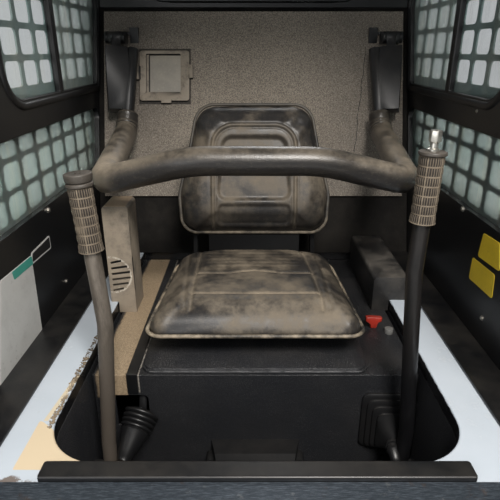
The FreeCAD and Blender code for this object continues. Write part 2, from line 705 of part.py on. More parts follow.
def make_boots():
    """Drooping rubber bellows and its rod on the left, stepped rubber boot on the right."""
    foot = Vector(-size.boot_left_x, size.box_front, size.boot_left_z)
    droop = math.radians(size.boot_droop)
    aim = Vector(-size.boot_splay, -math.cos(droop), -math.sin(droop)).normalize()
    folds = [Part.makeCylinder(diameter / 2, far - near, foot + aim * near, aim) for diameter, near, far in FOLDS]
    box = Part.makeBox(2 * size.box_half, 2 * size.box_half, size.box_top,
                       Vector(-size.box_half, size.box_front, 0))
    sleeve = Part.makeCone(size.boot_sleeve / 2, size.boot_tip / 2, size.boot_long - FOLDS[-1][2],
                           foot + aim * FOLDS[-1][2], aim)
    bellows = folds[0].fuse(folds[1:] + [sleeve]).cut(box)
    start = foot + Vector(0, size.boot_rod, size.boot_rod_rise)
    rod_line = foot + aim * size.boot_rod / 2 - start
    linkage = Part.makeCylinder(size.boot_rod / 2, rod_line.Length, start, rod_line)
    bellows = bellows.fuse(linkage).removeSplitter()

    boot = start_body("boot_right_steps")
    for middle, half_wide, half_high, near, far in STEPS:
        step = rectangle((middle - half_wide, size.boot_right_z - half_high),
                         (middle + half_wide, size.boot_right_z + half_high), size.boot_corner)
        pad(boot, "XZ_Plane", (step,), f"-Size.box_front + {near}", f"{far - near}")
    middle, _half_wide, _half_high, _near, far = STEPS[-1]
    nose = rod("boot_nose", "Size.boot_nose", "Size.boot_nose_long",
               (f"{middle}", f"Size.box_front - {far}", "Size.boot_right_z"), (Vector(1, 0, 0), 90))
    keep(together("boots", [shaped("boot_left", bellows), joined("boot_right", [boot, nose])]), "boots")


def box_outline(inner, outer, top, sign):
    """Section in the XZ plane of a case that stands on the seat box and on the deck."""
    step = size.well_half - size.lip_wall - 2
    points = ((inner, size.box_top), (step, size.box_top), (step, size.deck_top),
              (outer, size.deck_top), (outer, top), (inner, top))
    ordered = [(sign * across, up) for across, up in points]
    return outline(ordered, (0, 0, 0, 0, 10, 10))


# Louvres of the duct box, cut to a half circle
LOUVRES = 6


def make_cases():
    """Duct box with its louvres on the left, lower case on the right."""
    for name, inner, outer, front, top, sign in (
            ("duct_box", size.duct_inner, size.duct_outer, size.duct_front, size.duct_top, -1),
            ("side_case", size.case_inner, size.case_outer, size.case_front, size.case_top, 1)):
        case = start_body(name)
        long = size.duct_deep if name == "duct_box" else wall_y(size.box_top) - front - 1
        pad(case, "XZ_Plane", (box_outline(inner, outer, top, sign),), f"-({front} + {long})", f"{long}")
        if name == "duct_box":
            start = -(inner + outer + size.louvre_wide) / 2
            for row in range(LOUVRES):
                low = size.louvre_low + row * size.louvre_pitch
                high = low + size.louvre_high
                off_middle = (row - (LOUVRES - 1) / 2) * size.louvre_pitch
                end = start + math.sqrt(size.louvre_wide ** 2 - off_middle ** 2)
                slot = ((start, low), (end, high), (end, high + size.louvre_high), (start, high))
                pocket(case, "XZ_Plane", (outline(slot, (0,) * 4),), f"-{front}", "Size.louvre_deep")
        keep(case, name)


def make_pocket_frame():
    """Square frame on the liner, tilted with it, with three clips."""
    frame = start_body("pocket_frame")
    half = size.frame_size / 2
    border = size.frame_border
    outer = rectangle((-half, -half), (half, half), 8)
    inner = rectangle((-half + border, -half + border + 6), (half - border - 6, half - border / 2), 4)
    pad(frame, "XZ_Plane", (outer, inner), "0", "Size.frame_thick")
    pad(frame, "XZ_Plane", (outer,), "0", "Size.frame_thick / 4")
    for across, up, wide, tall in ((-half - 4, 8, 14, 40), (half + 4, 12, 14, 40), (6, -half - 2, 30, 12)):
        clip = rectangle((across - wide / 2, up - tall / 2), (across + wide / 2, up + tall / 2))
        pad(frame, "XZ_Plane", (clip,), "0", "Size.frame_thick + 4")
    lean = math.degrees(math.atan(size.wall_lean))
    seat_y = wall_y(size.frame_z) - size.liner_thick
    frame.Placement = Placement(Vector(size.frame_x, seat_y, size.frame_z), Rotation(Vector(1, 0, 0), -lean))
    keep(frame, "pocket_frame")


def make_knobs():
    """Red wing knob and grey button on the seat box's right strip."""
    stem = rod("knob_stem", "Size.knob_stem", "Size.knob_stand", ("Size.knob_x", "Size.knob_y", "Size.box_top"))
    wing_low = "Size.box_top + Size.knob_stand"
    wing = block("knob_wings", ("Size.knob_x - Size.knob_wing / 2", "Size.knob_x + Size.knob_wing / 2"),
                 ("Size.knob_y - Size.knob_stem / 3", "Size.knob_y + Size.knob_stem / 3"),
                 (wing_low, f"{wing_low} + Size.knob_high"))
    keep(joined("wing_knob", [stem, wing]), "wing_knob")
    button = rod("round_button", "Size.button", "Size.button_high",
                 ("Size.button_x", "Size.button_y", "Size.box_top"))
    keep(button, "round_button")


def behind_back(height):
    """Rear face of the backrest's shell at a height."""
    lean = math.radians(size.back_lean)
    thick = (size.back_thick + size.shell_thick) / math.cos(lean)
    return size.back_y + math.tan(lean) * (height - size.back_low) + thick


def make_seat():
    """Rails on the access panel; pan, cushion, shell and backrest slide on them."""
    rail_top = "Size.box_top + Size.panel_thick + Size.rail_high"
    rails = []
    for side, sign in SIDES:
        x = pair("Size.rail_x - Size.rail_width / 2", "Size.rail_x + Size.rail_width / 2", sign)
        rails.append(block(f"rail_{side}", x, ("Size.rail_front", "Size.rail_front + Size.rail_long"),
                           ("Size.box_top + Size.panel_thick", rail_top)))
    keep(together("seat_rails", rails), "seat_rails")

    pan_low = f"{rail_top} + Size.seat_gap"
    pan_half = "Size.cushion_half_rear - Size.pan_inset"
    pan = block("pan_plate", (f"-({pan_half})", pan_half),
                ("Size.cushion_front + Size.pan_setback", "Size.cushion_rear + Size.pan_overhang"),
                (pan_low, "Size.cushion_low"))
    upstand_front = "Size.cushion_rear + Size.plate_gap"
    upstand = block("pan_upstand", ("-Size.plate_half", "Size.plate_half"),
                    (upstand_front, f"{upstand_front} + Size.plate_thick"),
                    ("Size.cushion_low - Size.plate_thick", "Size.plate_top"))
    pan_z = size.box_top + size.panel_thick + size.rail_high + size.seat_gap
    foot_top = pan_z + size.strap_foot
    strap_outline = ((size.cushion_rear, pan_z), (behind_back(foot_top) + 2 * size.strap_thick, pan_z),
                     (behind_back(size.strap_top) + size.strap_thick, size.strap_top),
                     (behind_back(size.strap_top), size.strap_top), (behind_back(foot_top), foot_top),
                     (size.cushion_rear, foot_top))
    straps = []
    for side, sign in SIDES:
        strap = start_body(f"back_strap_{side}")
        edge = "Size.cushion_half_rear - Size.strap_inset"
        start = f"{edge} - Size.strap_wide" if sign > 0 else f"-({edge})"
        pad(strap, "YZ_Plane", (outline(strap_outline, (0,) * 6),), start, "Size.strap_wide")
        straps.append(strap)
    keep(joined("seat_pan", [pan, upstand] + straps), "seat_pan")

    cushion = start_body("seat_cushion")
    points = ((-size.cushion_half, size.cushion_front), (size.cushion_half, size.cushion_front),
              (size.cushion_half_rear, size.cushion_rear), (-size.cushion_half_rear, size.cushion_rear))
    radii = (size.cushion_corner, size.cushion_corner, 2 * size.cushion_corner, 2 * size.cushion_corner)
    pad(cushion, "XY_Plane", (outline(points, radii),), "Size.cushion_low", "Size.cushion_thick")
    keep(cushion, "seat_cushion")

    low = size.back_half_low
    points = ((-low + 8, 0), (low - 8, 0), (low, size.back_length * 0.3),
              (size.back_half_mid, size.back_length * 0.68), (size.back_half_top, size.back_length),
              (-size.back_half_top, size.back_length), (-size.back_half_mid, size.back_length * 0.68),
              (-low, size.back_length * 0.3))
    radii = (45, 45, 90, 120, 55, 55, 120, 90)
    lean = Rotation(Vector(1, 0, 0), -size.back_lean)
    foot = Vector(0, size.back_y, size.back_low)
    back = start_body("backrest")
    pad(back, "XZ_Plane", (outline(points, radii),), "-Size.back_thick", "Size.back_thick")
    back.Placement = Placement(foot, lean)
    keep(back, "backrest")
    shell = start_body("backrest_shell")
    inset = [(across * 0.96, 8 + up * 0.95) for across, up in points]
    pad(shell, "XZ_Plane", (outline(inset, radii),), "-(Size.back_thick + Size.shell_thick)",
        "Size.shell_thick")
    shell.Placement = Placement(foot, lean)
    keep(shell, "backrest_shell")


def lap_points(sign):
    """Centreline points of one half of the lap bar's tube, from its head to the middle."""
    return [Vector(sign * size.head_x, size.pivot_y, size.pivot_z - size.boss),
            Vector(sign * size.elbow_x, size.elbow_y, size.elbow_z),
            Vector(sign * size.corner_x, size.corner_y, size.corner_z),
            Vector(sign * size.bar_x, size.bar_y, size.bar_z)]


def make_lap_bar():
    """Padded bar across the lap, its arms with flat channels, and the clevises they turn in."""
    left = lap_points(-1)
    right = lap_points(1)
    pad_ends = []
    for points in (left, right):
        share = (size.pivot_z - size.boss - size.pad_start_z) / (size.pivot_z - size.boss - size.elbow_z)
        pad_ends.append(points[0] + (points[1] - points[0]) * share)
    middle = [pad_ends[0]] + left[1:] + right[:0:-1] + [pad_ends[1]]
    padding = tube_along(Part.makePolygon(middle), size.bar_pad, MITRED)
    keep(shaped("lap_bar_padding", padding), "lap_bar_padding")
    pieces = []
    clevises = []
    for sign, tube_points, end in ((-1, left, pad_ends[0]), (1, right, pad_ends[1])):
        tube = Part.makeCylinder(size.bar_tube / 2, tube_points[0].distanceToPoint(end), tube_points[0],
                                 end - tube_points[0])
        pivot = Vector(sign * size.pivot_x, size.pivot_y, size.pivot_z)
        share = (size.pivot_z - size.arm_low) / (size.pivot_z - size.elbow_z)
        foot = Vector(sign * size.arm_foot_x, size.pivot_y + share * (size.elbow_y - size.pivot_y), size.arm_low)
        run = foot - pivot
        channel = Part.makeBox(size.arm_wide, size.arm_deep, run.Length - size.boss,
                               Vector(-size.arm_wide / 2, -size.arm_deep / 2, size.boss))
        channel.Placement = Placement(pivot, Rotation(Vector(0, 0, 1), run))
        neck = Part.makeBox(size.neck_wide, size.boss, size.boss + size.cheek,
                            Vector(-size.neck_wide / 2, -size.boss / 2, 0))
        neck.Placement = channel.Placement
        boss = Part.makeCylinder(size.boss / 2, size.boss_long, pivot - Vector(size.boss_long / 2, 0, 0),
                                 Vector(1, 0, 0))
        bore = Part.makeCylinder(size.pin / 2 + size.pin_gap, size.boss_long + 2 * size.arm_wide,
                                 pivot - Vector(size.boss_long / 2 + size.arm_wide, 0, 0), Vector(1, 0, 0))
        pieces.append(tube.fuse([channel, neck, boss]).cut(bore).removeSplitter())

        cheeks = []
        for place in (-1, 1):
            near = pivot.x + place * (size.boss_long / 2 + 1)
            far = near + place * size.cheek
            x0 = min(near, far)
            ring = Part.makeCylinder(size.boss / 2, size.cheek, Vector(x0, size.pivot_y, size.pivot_z),
                                     Vector(1, 0, 0))
            web = Part.makeBox(size.cheek, 100, size.boss, Vector(x0, size.pivot_y, size.pivot_z - size.boss / 2))
            cheeks.append(ring.fuse(web))
        pin_long = size.boss_long + 2 + 2 * size.cheek
        pin = Part.makeCylinder(size.pin / 2, pin_long,
                                Vector(pivot.x - pin_long / 2, size.pivot_y, size.pivot_z),
                                Vector(1, 0, 0))
        ear_low = size.pivot_z - size.boss / 2
        ear = Part.makeBox(size.ear_wide, 2 * size.arm_wide, size.boss + size.ear_rise,
                           Vector(sign * size.head_x - size.ear_wide / 2,
                                  wall_y(size.pivot_z) - size.liner_thick - size.ear_proud, ear_low))
        tie = Part.makeBox(abs(pivot.x) - size.head_x, 2 * size.arm_wide, size.cheek,
                           Vector(min(pivot.x, sign * size.head_x), ear.BoundBox.YMin, size.pivot_z + size.boss / 4))
        behind = Part.Face(Part.Wire([edge.toShape() for edge in
                                      leaning_slab(size.deck_top, size.kink_z, -size.liner_thick, 200)]))
        behind.rotate(Vector(), Vector(1, 1, 1), 120)
        cutter = behind.extrude(Vector(2 * size.half_width, 0, 0))
        cutter.translate(Vector(-size.half_width, 0, 0))
        clevises.append(pin.fuse(cheeks + [ear, tie]).cut(cutter).removeSplitter())
    keep(shaped("pivot_clevises", Part.makeCompound(clevises)), "pivot_clevises")
    arms = Part.makeCompound(pieces)
    keep(shaped("lap_bar_arms", arms), "lap_bar_arms")


# Lever centrelines above the pivot, left and right: points as distance outward and height
LEVERS = (
    ((298, 300), (276, 575), (284, 720)),
    ((304, 330), (277, 680), (279, 771)),
)


def make_levers():
    """Cranked tubes on pins at the footwell's walls, each with a ribbed grip."""
    mounts = []
    for (side, sign), points in zip(SIDES, LEVERS):
        pivot = Vector(sign * size.lever_pivot_x, size.lever_y, size.lever_pivot_z)
        path = [pivot] + [Vector(sign * out, size.lever_y, up) for out, up in points]
        wire = route(path, (size.lever_bend,) * (len(path) - 2))
        tube = tube_along(wire, size.lever_tube)
        half = size.lever_eye_long / 2
        eye = Part.makeCylinder(size.lever_eye / 2, size.lever_eye_long, pivot - Vector(half, 0, 0),
                                Vector(1, 0, 0))
        bore = Part.makeCylinder(size.pin / 2 + size.pin_gap, 2 * size.lever_eye_long,
                                 pivot - Vector(2 * half, 0, 0), Vector(1, 0, 0))
        keep(shaped(f"lever_{side}_tube", tube.fuse(eye).cut(bore).removeSplitter()),
             f"lever_{side}_tube")

        heading = (path[-1] - path[-2]).normalize()
        turn = Rotation(Vector(0, 0, 1), heading)
        sleeve = Part.makeCylinder(size.grip / 2, size.grip_long - size.grip_collar)
        collar = Part.makeCylinder(size.cap / 2, size.grip_collar, Vector(0, 0, size.grip_long - size.grip_collar))
        grip = sleeve.fuse(collar)
        grip.Placement = Placement(path[-1], turn)
        keep(shaped(f"lever_{side}_grip", grip), f"lever_{side}_grip")

        top = path[-1] + heading * size.grip_long
        if sign < 0:
            cap = Part.makeCylinder(size.cap / 2, size.cap_high)
            cap.Placement = Placement(top, turn)
            keep(shaped("lever_left_cap", cap), "lever_left_cap")
        else:
            stub = Part.makeCylinder(size.stub / 2, size.stub_high)
            stub.Placement = Placement(top, turn)
            keep(shaped("lever_right_stub", stub), "lever_right_stub")

        well = size.well_half - size.lip_wall
        inner = size.lever_pivot_x - size.lever_eye_long / 2 - 1
        outer = size.lever_pivot_x + size.lever_eye_long / 2 + 1
        axis = Vector(sign, 0, 0)
        at = Vector(0, size.lever_y, size.lever_pivot_z)
        pin = Part.makeCylinder(size.pin / 2, outer - inner, at + axis * inner, axis)
        washer = Part.makeCylinder(size.pin / 2 + 5, 4, at + axis * inner, -axis)
        foot = Part.makeBox(well - outer, 60, 70)
        x0 = min(sign * outer, sign * well)
        foot.translate(Vector(x0, size.lever_y - 30, size.lever_pivot_z - 35))
        mounts.append(foot.fuse([pin, washer]).removeSplitter())
    keep(shaped("lever_pivots", Part.makeCompound(mounts)), "lever_pivots")


def make_hinge_ears():
    """Bored ears behind the cab's sides, where the loader's frame carries the cab."""
    ears = []
    bore_y = wall_y(size.ear_z) + WALL_THICK + size.ear_reach
    wall = leaning_slab(size.deck_top, size.kink_z, WALL_THICK - 2 * size.ear_size, 2 * size.ear_size)
    face = Part.Face(Part.Wire([edge.toShape() for edge in wall]))
    face.rotate(Vector(), Vector(1, 1, 1), 120)
    cab = face.extrude(Vector(2 * size.half_width, 0, 0))
    cab.translate(Vector(-size.half_width, 0, 0))
    for _side, sign in SIDES:
        x0 = sign * (size.half_width - size.wall / 2) - size.ear_long / 2
        eye = Part.makeCylinder(size.ear_size / 2, size.ear_long, Vector(x0, bore_y, size.ear_z),
                                Vector(1, 0, 0))
        web = Part.makeBox(size.ear_long, size.ear_size + size.ear_reach, size.ear_size,
                           Vector(x0, bore_y - size.ear_size - size.ear_reach, size.ear_z - size.ear_size / 2))
        bore = Part.makeCylinder(size.ear_bore / 2, size.ear_long + 2, Vector(x0 - 1, bore_y, size.ear_z),
                                 Vector(1, 0, 0))
        ears.append(eye.fuse(web).cut(cab).cut(bore).removeSplitter())
    keep(shaped("hinge_ears", Part.makeCompound(ears)), "hinge_ears")


def main():
    make_chassis()
    make_footwell()
    make_cab_sides()
    make_rear()
    make_roof()
    make_seat_box()
    make_boots()
    make_cases()
    make_pocket_frame()
    make_knobs()
    make_seat()
    make_lap_bar()
    make_levers()
    make_hinge_ears()
    doc.recompute()
    for item in doc.Objects:
        if "Invalid" in item.State or "Error" in item.State:
            raise RuntimeError(f"{item.Name} failed: {item.State}")
    for item in nodes:
        if item.Shape.isNull() or not item.Shape.isValid():
            raise RuntimeError(f"{item.Label} has no valid shape")
    os.makedirs("parts", exist_ok=True)
    for item in nodes:
        item.Shape.exportStep(f"parts/{item.Label}.step")
    print(f"{len(nodes)} nodes written")


main()
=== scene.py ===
"""Looks of a skid steer loader's operator station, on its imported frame.

Metres. X is to the right in the picture, Y runs from the open front to the rear wall, Z is up.
"""

import json
import math
import random

import bmesh
import bpy
import numpy as np
from mathutils import Matrix, Vector, noise

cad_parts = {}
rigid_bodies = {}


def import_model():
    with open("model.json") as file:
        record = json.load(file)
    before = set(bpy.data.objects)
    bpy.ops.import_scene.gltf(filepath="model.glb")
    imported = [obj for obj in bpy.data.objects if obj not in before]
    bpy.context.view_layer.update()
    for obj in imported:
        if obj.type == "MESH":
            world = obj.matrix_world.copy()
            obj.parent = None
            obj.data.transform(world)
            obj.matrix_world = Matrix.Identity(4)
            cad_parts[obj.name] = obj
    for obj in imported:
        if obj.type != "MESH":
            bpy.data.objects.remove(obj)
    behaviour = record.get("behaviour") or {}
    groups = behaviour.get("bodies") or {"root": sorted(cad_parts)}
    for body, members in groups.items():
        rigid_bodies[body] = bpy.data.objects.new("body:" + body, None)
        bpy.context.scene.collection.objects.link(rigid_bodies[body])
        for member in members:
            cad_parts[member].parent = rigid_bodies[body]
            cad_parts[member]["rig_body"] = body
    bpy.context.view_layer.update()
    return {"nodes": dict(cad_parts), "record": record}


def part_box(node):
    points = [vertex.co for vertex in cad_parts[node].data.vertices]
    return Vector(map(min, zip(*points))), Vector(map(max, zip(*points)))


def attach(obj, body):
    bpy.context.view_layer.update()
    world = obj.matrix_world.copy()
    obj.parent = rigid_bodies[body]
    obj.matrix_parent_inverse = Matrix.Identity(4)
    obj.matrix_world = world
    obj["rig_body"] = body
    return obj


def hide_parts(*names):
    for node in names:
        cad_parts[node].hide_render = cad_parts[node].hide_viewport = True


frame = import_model()
nodes = frame["nodes"]
slot_of = {part["node"]: part["material_slot"] for part in frame["record"]["subparts"]}

# The photograph's camera: place in metres, tilt below the horizon, lens over sensor width
CAMERA_PLACE = (-0.011, -1.11, 1.04)
CAMERA_TILT = 21.8
LENS = 36.0
SENSOR = 36.0

# Places shared by several pieces, in metres, read from the frame
DECK_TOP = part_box("chassis_deck")[1].z
BOX_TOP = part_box("seat_box")[1].z
BOX_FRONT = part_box("seat_box")[0].y
INNER_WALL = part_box("floor_ledges")[1].x
PANEL_LOW, PANEL_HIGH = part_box("access_panel")
CUSHION_LOW, CUSHION_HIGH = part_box("seat_cushion")
LEVER_Y = -0.31


# Materials

class Value:
    """A number made by nodes. Sums and products of shares stay within 0 to 1, those of places don't."""

    def __init__(self, finish, socket, is_place=False):
        self.finish, self.socket, self.is_place = finish, socket, is_place

    def __add__(self, other):
        return self.finish.math("ADD", self, other)

    def __sub__(self, other):
        return self.finish.math("SUBTRACT", self, other)

    def __rsub__(self, other):
        return self.finish.math("SUBTRACT", other, self)

    def __mul__(self, other):
        return self.finish.math("MULTIPLY", self, other)

    def __or__(self, other):
        return self.finish.math("MAXIMUM", self, other)


class Finish:
    """A material whose colour, roughness and bump come from procedural nodes."""

    def __init__(self, name, roughness=0.5, metallic=0.0, specular=0.5):
        self.material = bpy.data.materials.new(name)
        self.material.use_nodes = True
        self.tree = self.material.node_tree
        self.shader = self.tree.nodes["Principled BSDF"]
        self.shader.inputs["Roughness"].default_value = roughness
        self.shader.inputs["Metallic"].default_value = metallic
        self.shader.inputs["Specular IOR Level"].default_value = specular
        self.place = self.node("ShaderNodeTexCoord").outputs["Object"]
        self.tone = None

    def node(self, kind, **settings):
        made = self.tree.nodes.new(kind)
        for key, value in settings.items():
            setattr(made, key, value)
        return made

    def plug(self, value, socket):
        """Links a socket, or sets a plain value."""
        if isinstance(value, Value):
            value = value.socket
        if isinstance(value, bpy.types.NodeSocket):
            self.tree.links.new(value, socket)
        elif isinstance(value, (tuple, list)) and len(value) == 3 and socket.type == "RGBA":
            socket.default_value = (*value, 1.0)
        else:
            socket.default_value = value

    def axis_of(self, vector, axis):
        split = self.node("ShaderNodeSeparateXYZ")
        self.plug(vector, split.inputs[0])
        return Value(self, split.outputs["XYZ".index(axis)], is_place=True)

    def at(self, axis):
        """The place along an axis of the frame."""
        return self.axis_of(self.place, axis)

    def facing(self, axis):
        """How much the surface faces along an axis."""
        return self.axis_of(self.node("ShaderNodeNewGeometry").outputs["Normal"], axis)

    def ranged(self, value, low, high, to_low=0.0, to_high=1.0):
        made = self.node("ShaderNodeMapRange", interpolation_type="SMOOTHSTEP")
        self.plug(value, made.inputs["Value"])
        for key, number in (("From Min", low), ("From Max", high), ("To Min", to_low), ("To Max", to_high)):
            made.inputs[key].default_value = number
        return Value(self, made.outputs["Result"])

    def texture(self, kind, output, stretch, low, high, **inputs):
        made = self.node(kind)
        vector = self.place
        if stretch:
            mapping = self.node("ShaderNodeMapping")
            self.plug(vector, mapping.inputs["Vector"])
            mapping.inputs["Scale"].default_value = stretch
            vector = mapping.outputs["Vector"]
        self.plug(vector, made.inputs["Vector"])
        for key, number in inputs.items():
            made.inputs[key].default_value = number
        result = Value(self, made.outputs[output])
        return result if low is None else self.ranged(result, low, high)

    def noise(self, scale, detail=5.0, rough=0.6, low=None, high=None, stretch=None):
        return self.texture("ShaderNodeTexNoise", "Fac", stretch, low, high, Scale=scale, Detail=detail,
                            Roughness=rough)

    def cells(self, scale, low, high):
        return self.texture("ShaderNodeTexVoronoi", "Distance", None, low, high, Scale=scale)

    def upward(self, low=0.3, high=0.95):
        """Share that grows where the surface faces up, for settled dust."""
        return self.ranged(self.facing("Z"), low, high)

    def along(self, axis, low, high):
        """Share that grows along an axis of the frame."""
        return self.ranged(self.at(axis), low, high)

    def within(self, **spans):
        """Share that is one between two places on each axis: low, high, half the soft ends' length."""
        share = 1.0
        for axis, (low, high, soft) in spans.items():
            ends = 1 - self.along(axis, high - soft, high + soft)
            share = self.along(axis, low - soft, low + soft) * ends * share
        return share

    def kept(self, name):
        """A value that the mesh keeps at its points."""
        return Value(self, self.node("ShaderNodeAttribute", attribute_name=name).outputs["Fac"])

    def math(self, operation, first, second=0.5):
        is_place = any(isinstance(side, Value) and side.is_place for side in (first, second))
        made = self.node("ShaderNodeMath", operation=operation, use_clamp=not is_place)
        self.plug(first, made.inputs[0])
        self.plug(second, made.inputs[1])
        return Value(self, made.outputs[0], is_place)

    def mix(self, share, first, second):
        made = self.node("ShaderNodeMix", data_type="RGBA")
        self.plug(share, made.inputs["Factor"])
        self.plug(first, made.inputs["A"])
        self.plug(second, made.inputs["B"])
        return made.outputs["Result"]

    def colour(self, tone):
        self.tone = tone
        self.plug(tone, self.shader.inputs["Base Color"])

    def lay(self, share, tone):
        """Lays a colour over the one that is there."""
        self.colour(self.mix(share, self.tone, tone))

    def rough(self, value):
        self.plug(value, self.shader.inputs["Roughness"])

    def bump(self, height, strength=0.3, distance=0.001):
        made = self.node("ShaderNodeBump")
        made.inputs["Strength"].default_value = strength
        made.inputs["Distance"].default_value = distance
        self.plug(height, made.inputs["Height"])
        normal = self.shader.inputs["Normal"]
        if normal.is_linked:
            self.plug(normal.links[0].from_socket, made.inputs["Normal"])
        self.plug(made.outputs["Normal"], normal)


DUST = (0.115, 0.101, 0.085)
PALE_DUST = (0.27, 0.215, 0.155)


def dusted(name, base, roughness, settled, film, specular=0.5, dust=DUST):
    """Base colour with a thin dirty film, dust settled on faces that look up, and fine grain."""
    finish = Finish(name, roughness, specular=specular)
    patches = finish.noise(7.0, 8.0, 0.7, 0.38, 0.7)
    specks = finish.noise(160.0, 3.0, 0.6, 0.58, 0.7)
    cover = finish.upward() * patches * settled + patches * film + specks * (0.5 * film)
    finish.colour(base)
    finish.lay(cover, dust)
    finish.rough(finish.ranged(cover, 0.0, 1.0, roughness, 0.9))
    finish.bump(finish.noise(900.0, 3.0, 0.6), 0.15, 0.0006)
    return finish


def black_paint(name):
    finish = dusted(name, (0.0062, 0.0066, 0.0075), 0.34, 0.16, 0.018)
    finish.bump(finish.noise(38.0, 5.0, 0.65), 0.1, 0.0012)
    return finish


def box_coating(name):
    """Black pebbled coating with painted glints for bright specks; tan dust painted as sunlit left of the trim, a
    painted sunlit line right of it, a painted highlight on the access panel's rim.
    """
    finish = dusted(name, (0.015, 0.0158, 0.018), 0.3, 0.1, 0.04)
    # Painted glints: pale specks that stand in for highlights on the pebbled coating.
    glints = finish.noise(520.0, 2.0, 0.6, 0.6, 0.7) * finish.noise(9.0, 5.0, 0.7, 0.4, 0.7)
    finish.lay(glints * 0.9, (0.15, 0.15, 0.153))
    # Painted highlight: a pale line along the access panel's front rim, where light catches its rounded edge.
    rim = finish.within(X=(-PANEL_HIGH.x, PANEL_HIGH.x, 0.004), Y=(PANEL_LOW.y - 0.001, PANEL_LOW.y + 0.0035, 0.001),
                        Z=(PANEL_HIGH.z - 0.006, PANEL_HIGH.z + 0.002, 0.001))
    finish.lay(rim * finish.noise(45.0, 5.0, 0.7, 0.3, 0.6) * 0.8, (0.23, 0.23, 0.235))
    # Tan dust on the box top left of the trim, painted as lit by sun: partly real dust, partly painted sunlight.
    across = finish.at("X") + finish.noise(34.0, 7.0, 0.75) * 0.012
    tan = finish.ranged(across, -0.326, -0.318) * (1 - finish.along("X", -0.267, -0.264))
    tan = tan * finish.within(Z=(BOX_TOP - 0.055, BOX_TOP + 0.02, 0.004)) * finish.noise(60.0, 6.0, 0.7, 0.22, 0.42)
    tone = finish.mix(finish.noise(240.0, 4.0, 0.7, 0.35, 0.75), (0.42, 0.315, 0.205), (0.25, 0.19, 0.125))
    finish.lay(tan * 0.9, finish.mix(finish.noise(40.0, 8.0, 0.8, 0.6, 0.68), tone, (0.1, 0.08, 0.06)))
    # Painted sunlight: a thin pale line right of the trim, standing in for light falling there.
    line = finish.within(X=(-0.2425, -0.2395, 0.0008), Z=(BOX_TOP - 0.044, BOX_TOP + 0.01, 0.004))
    finish.lay(line * finish.noise(120.0, 4.0, 0.7, 0.35, 0.5) * 0.7, (0.34, 0.31, 0.27))
    finish.bump(finish.cells(420.0, 0.0, 0.6), 0.65, 0.0011)
    return finish


def white_paint(name):
    """Chipped pale paint: blue-white, grimy in patches, with painted sunlight as a cream patch at the left front corner
    and a cream strip along the left edge.
    """
    finish = Finish(name, 0.3)
    grime = finish.noise(9.0, 9.0, 0.75, 0.56, 0.8)
    chips = finish.noise(75.0, 6.0, 0.8, 0.715, 0.73)
    finish.colour(finish.mix(finish.noise(14.0, 4.0, 0.6), (0.5, 0.56, 0.62), (0.57, 0.62, 0.68)))
    finish.lay(grime * 0.5, (0.3, 0.28, 0.25))
    finish.lay(finish.noise(24.0, 8.0, 0.8, 0.64, 0.74, stretch=(6, 1, 6)) * 0.4, (0.24, 0.21, 0.18))
    ragged = finish.noise(38.0, 6.0, 0.7)
    # Painted sunlight: a cream patch on the left front corner of the pale paint.
    sunlit_patch = 1 - finish.ranged(finish.at("Y") + finish.at("X") * 0.8, -0.72, -0.714)
    sunlit_patch = sunlit_patch * finish.within(X=(-0.371, -0.24, 0.003), Y=(-0.531, -0.424, 0.003))
    sunlit_patch = finish.ranged(sunlit_patch + ragged * 0.35, 0.66, 0.7)
    finish.lay(sunlit_patch, (0.66, 0.54, 0.37))
    # Painted sunlight: a cream strip along the opening's left edge, like the corner patch.
    slope = finish.at("Y") * -0.112 + finish.at("X")
    strip = finish.ranged(slope, -0.3185, -0.317) * (1 - finish.ranged(slope, -0.31, -0.3085))
    strip = strip * finish.within(Y=(-0.424, -0.29, 0.01)) + ragged * 0.35
    finish.lay(finish.ranged(strip, 0.7, 0.74), (0.66, 0.57, 0.42))
    rust = finish.within(X=(-0.42, -0.31, 0.03), Y=(-0.62, -0.535, 0.02)) * finish.noise(26.0, 8.0, 0.75)
    finish.lay(finish.ranged(rust, 0.44, 0.52) * 0.85, (0.13, 0.085, 0.055))
    finish.lay(chips, (0.06, 0.045, 0.035))
    lip = 1 - finish.ranged(finish.at("Z") + ragged * 0.01, DECK_TOP + 0.0015, DECK_TOP + 0.0035)
    finish.lay(lip * finish.within(X=(-0.353, 0.353, 0.0005), Y=(-0.53, 0.37, 0.002)), (0.01, 0.01, 0.011))
    finish.rough(finish.ranged(grime + sunlit_patch, 0.0, 1.0, 0.26, 0.75))
    finish.bump(finish.noise(60.0, 5.0, 0.6), 0.1, 0.0008)
    finish.bump(chips, -0.4, 0.0004)
    return finish


def worn_steel(name):
    """Tread-worn steel: blue-grey with rust-brown blotches and scratches along the step."""
    finish = Finish(name, 0.45, metallic=0.55)
    scratches = finish.noise(60.0, 8.0, 0.8, 0.42, 0.72, stretch=(1, 9, 9))
    rust = finish.noise(13.0, 9.0, 0.75, 0.56, 0.68)
    finish.colour(finish.mix(scratches, (0.045, 0.055, 0.068), (0.16, 0.19, 0.225)))
    finish.lay(finish.noise(34.0, 6.0, 0.7, 0.6, 0.7) * 0.5, (0.26, 0.27, 0.27))
    finish.lay(rust * 0.8, (0.075, 0.05, 0.036))
    finish.rough(finish.ranged(rust, 0.0, 1.0, 0.36, 0.85))
    finish.bump(finish.noise(90.0, 6.0, 0.7), 0.4, 0.001)
    return finish


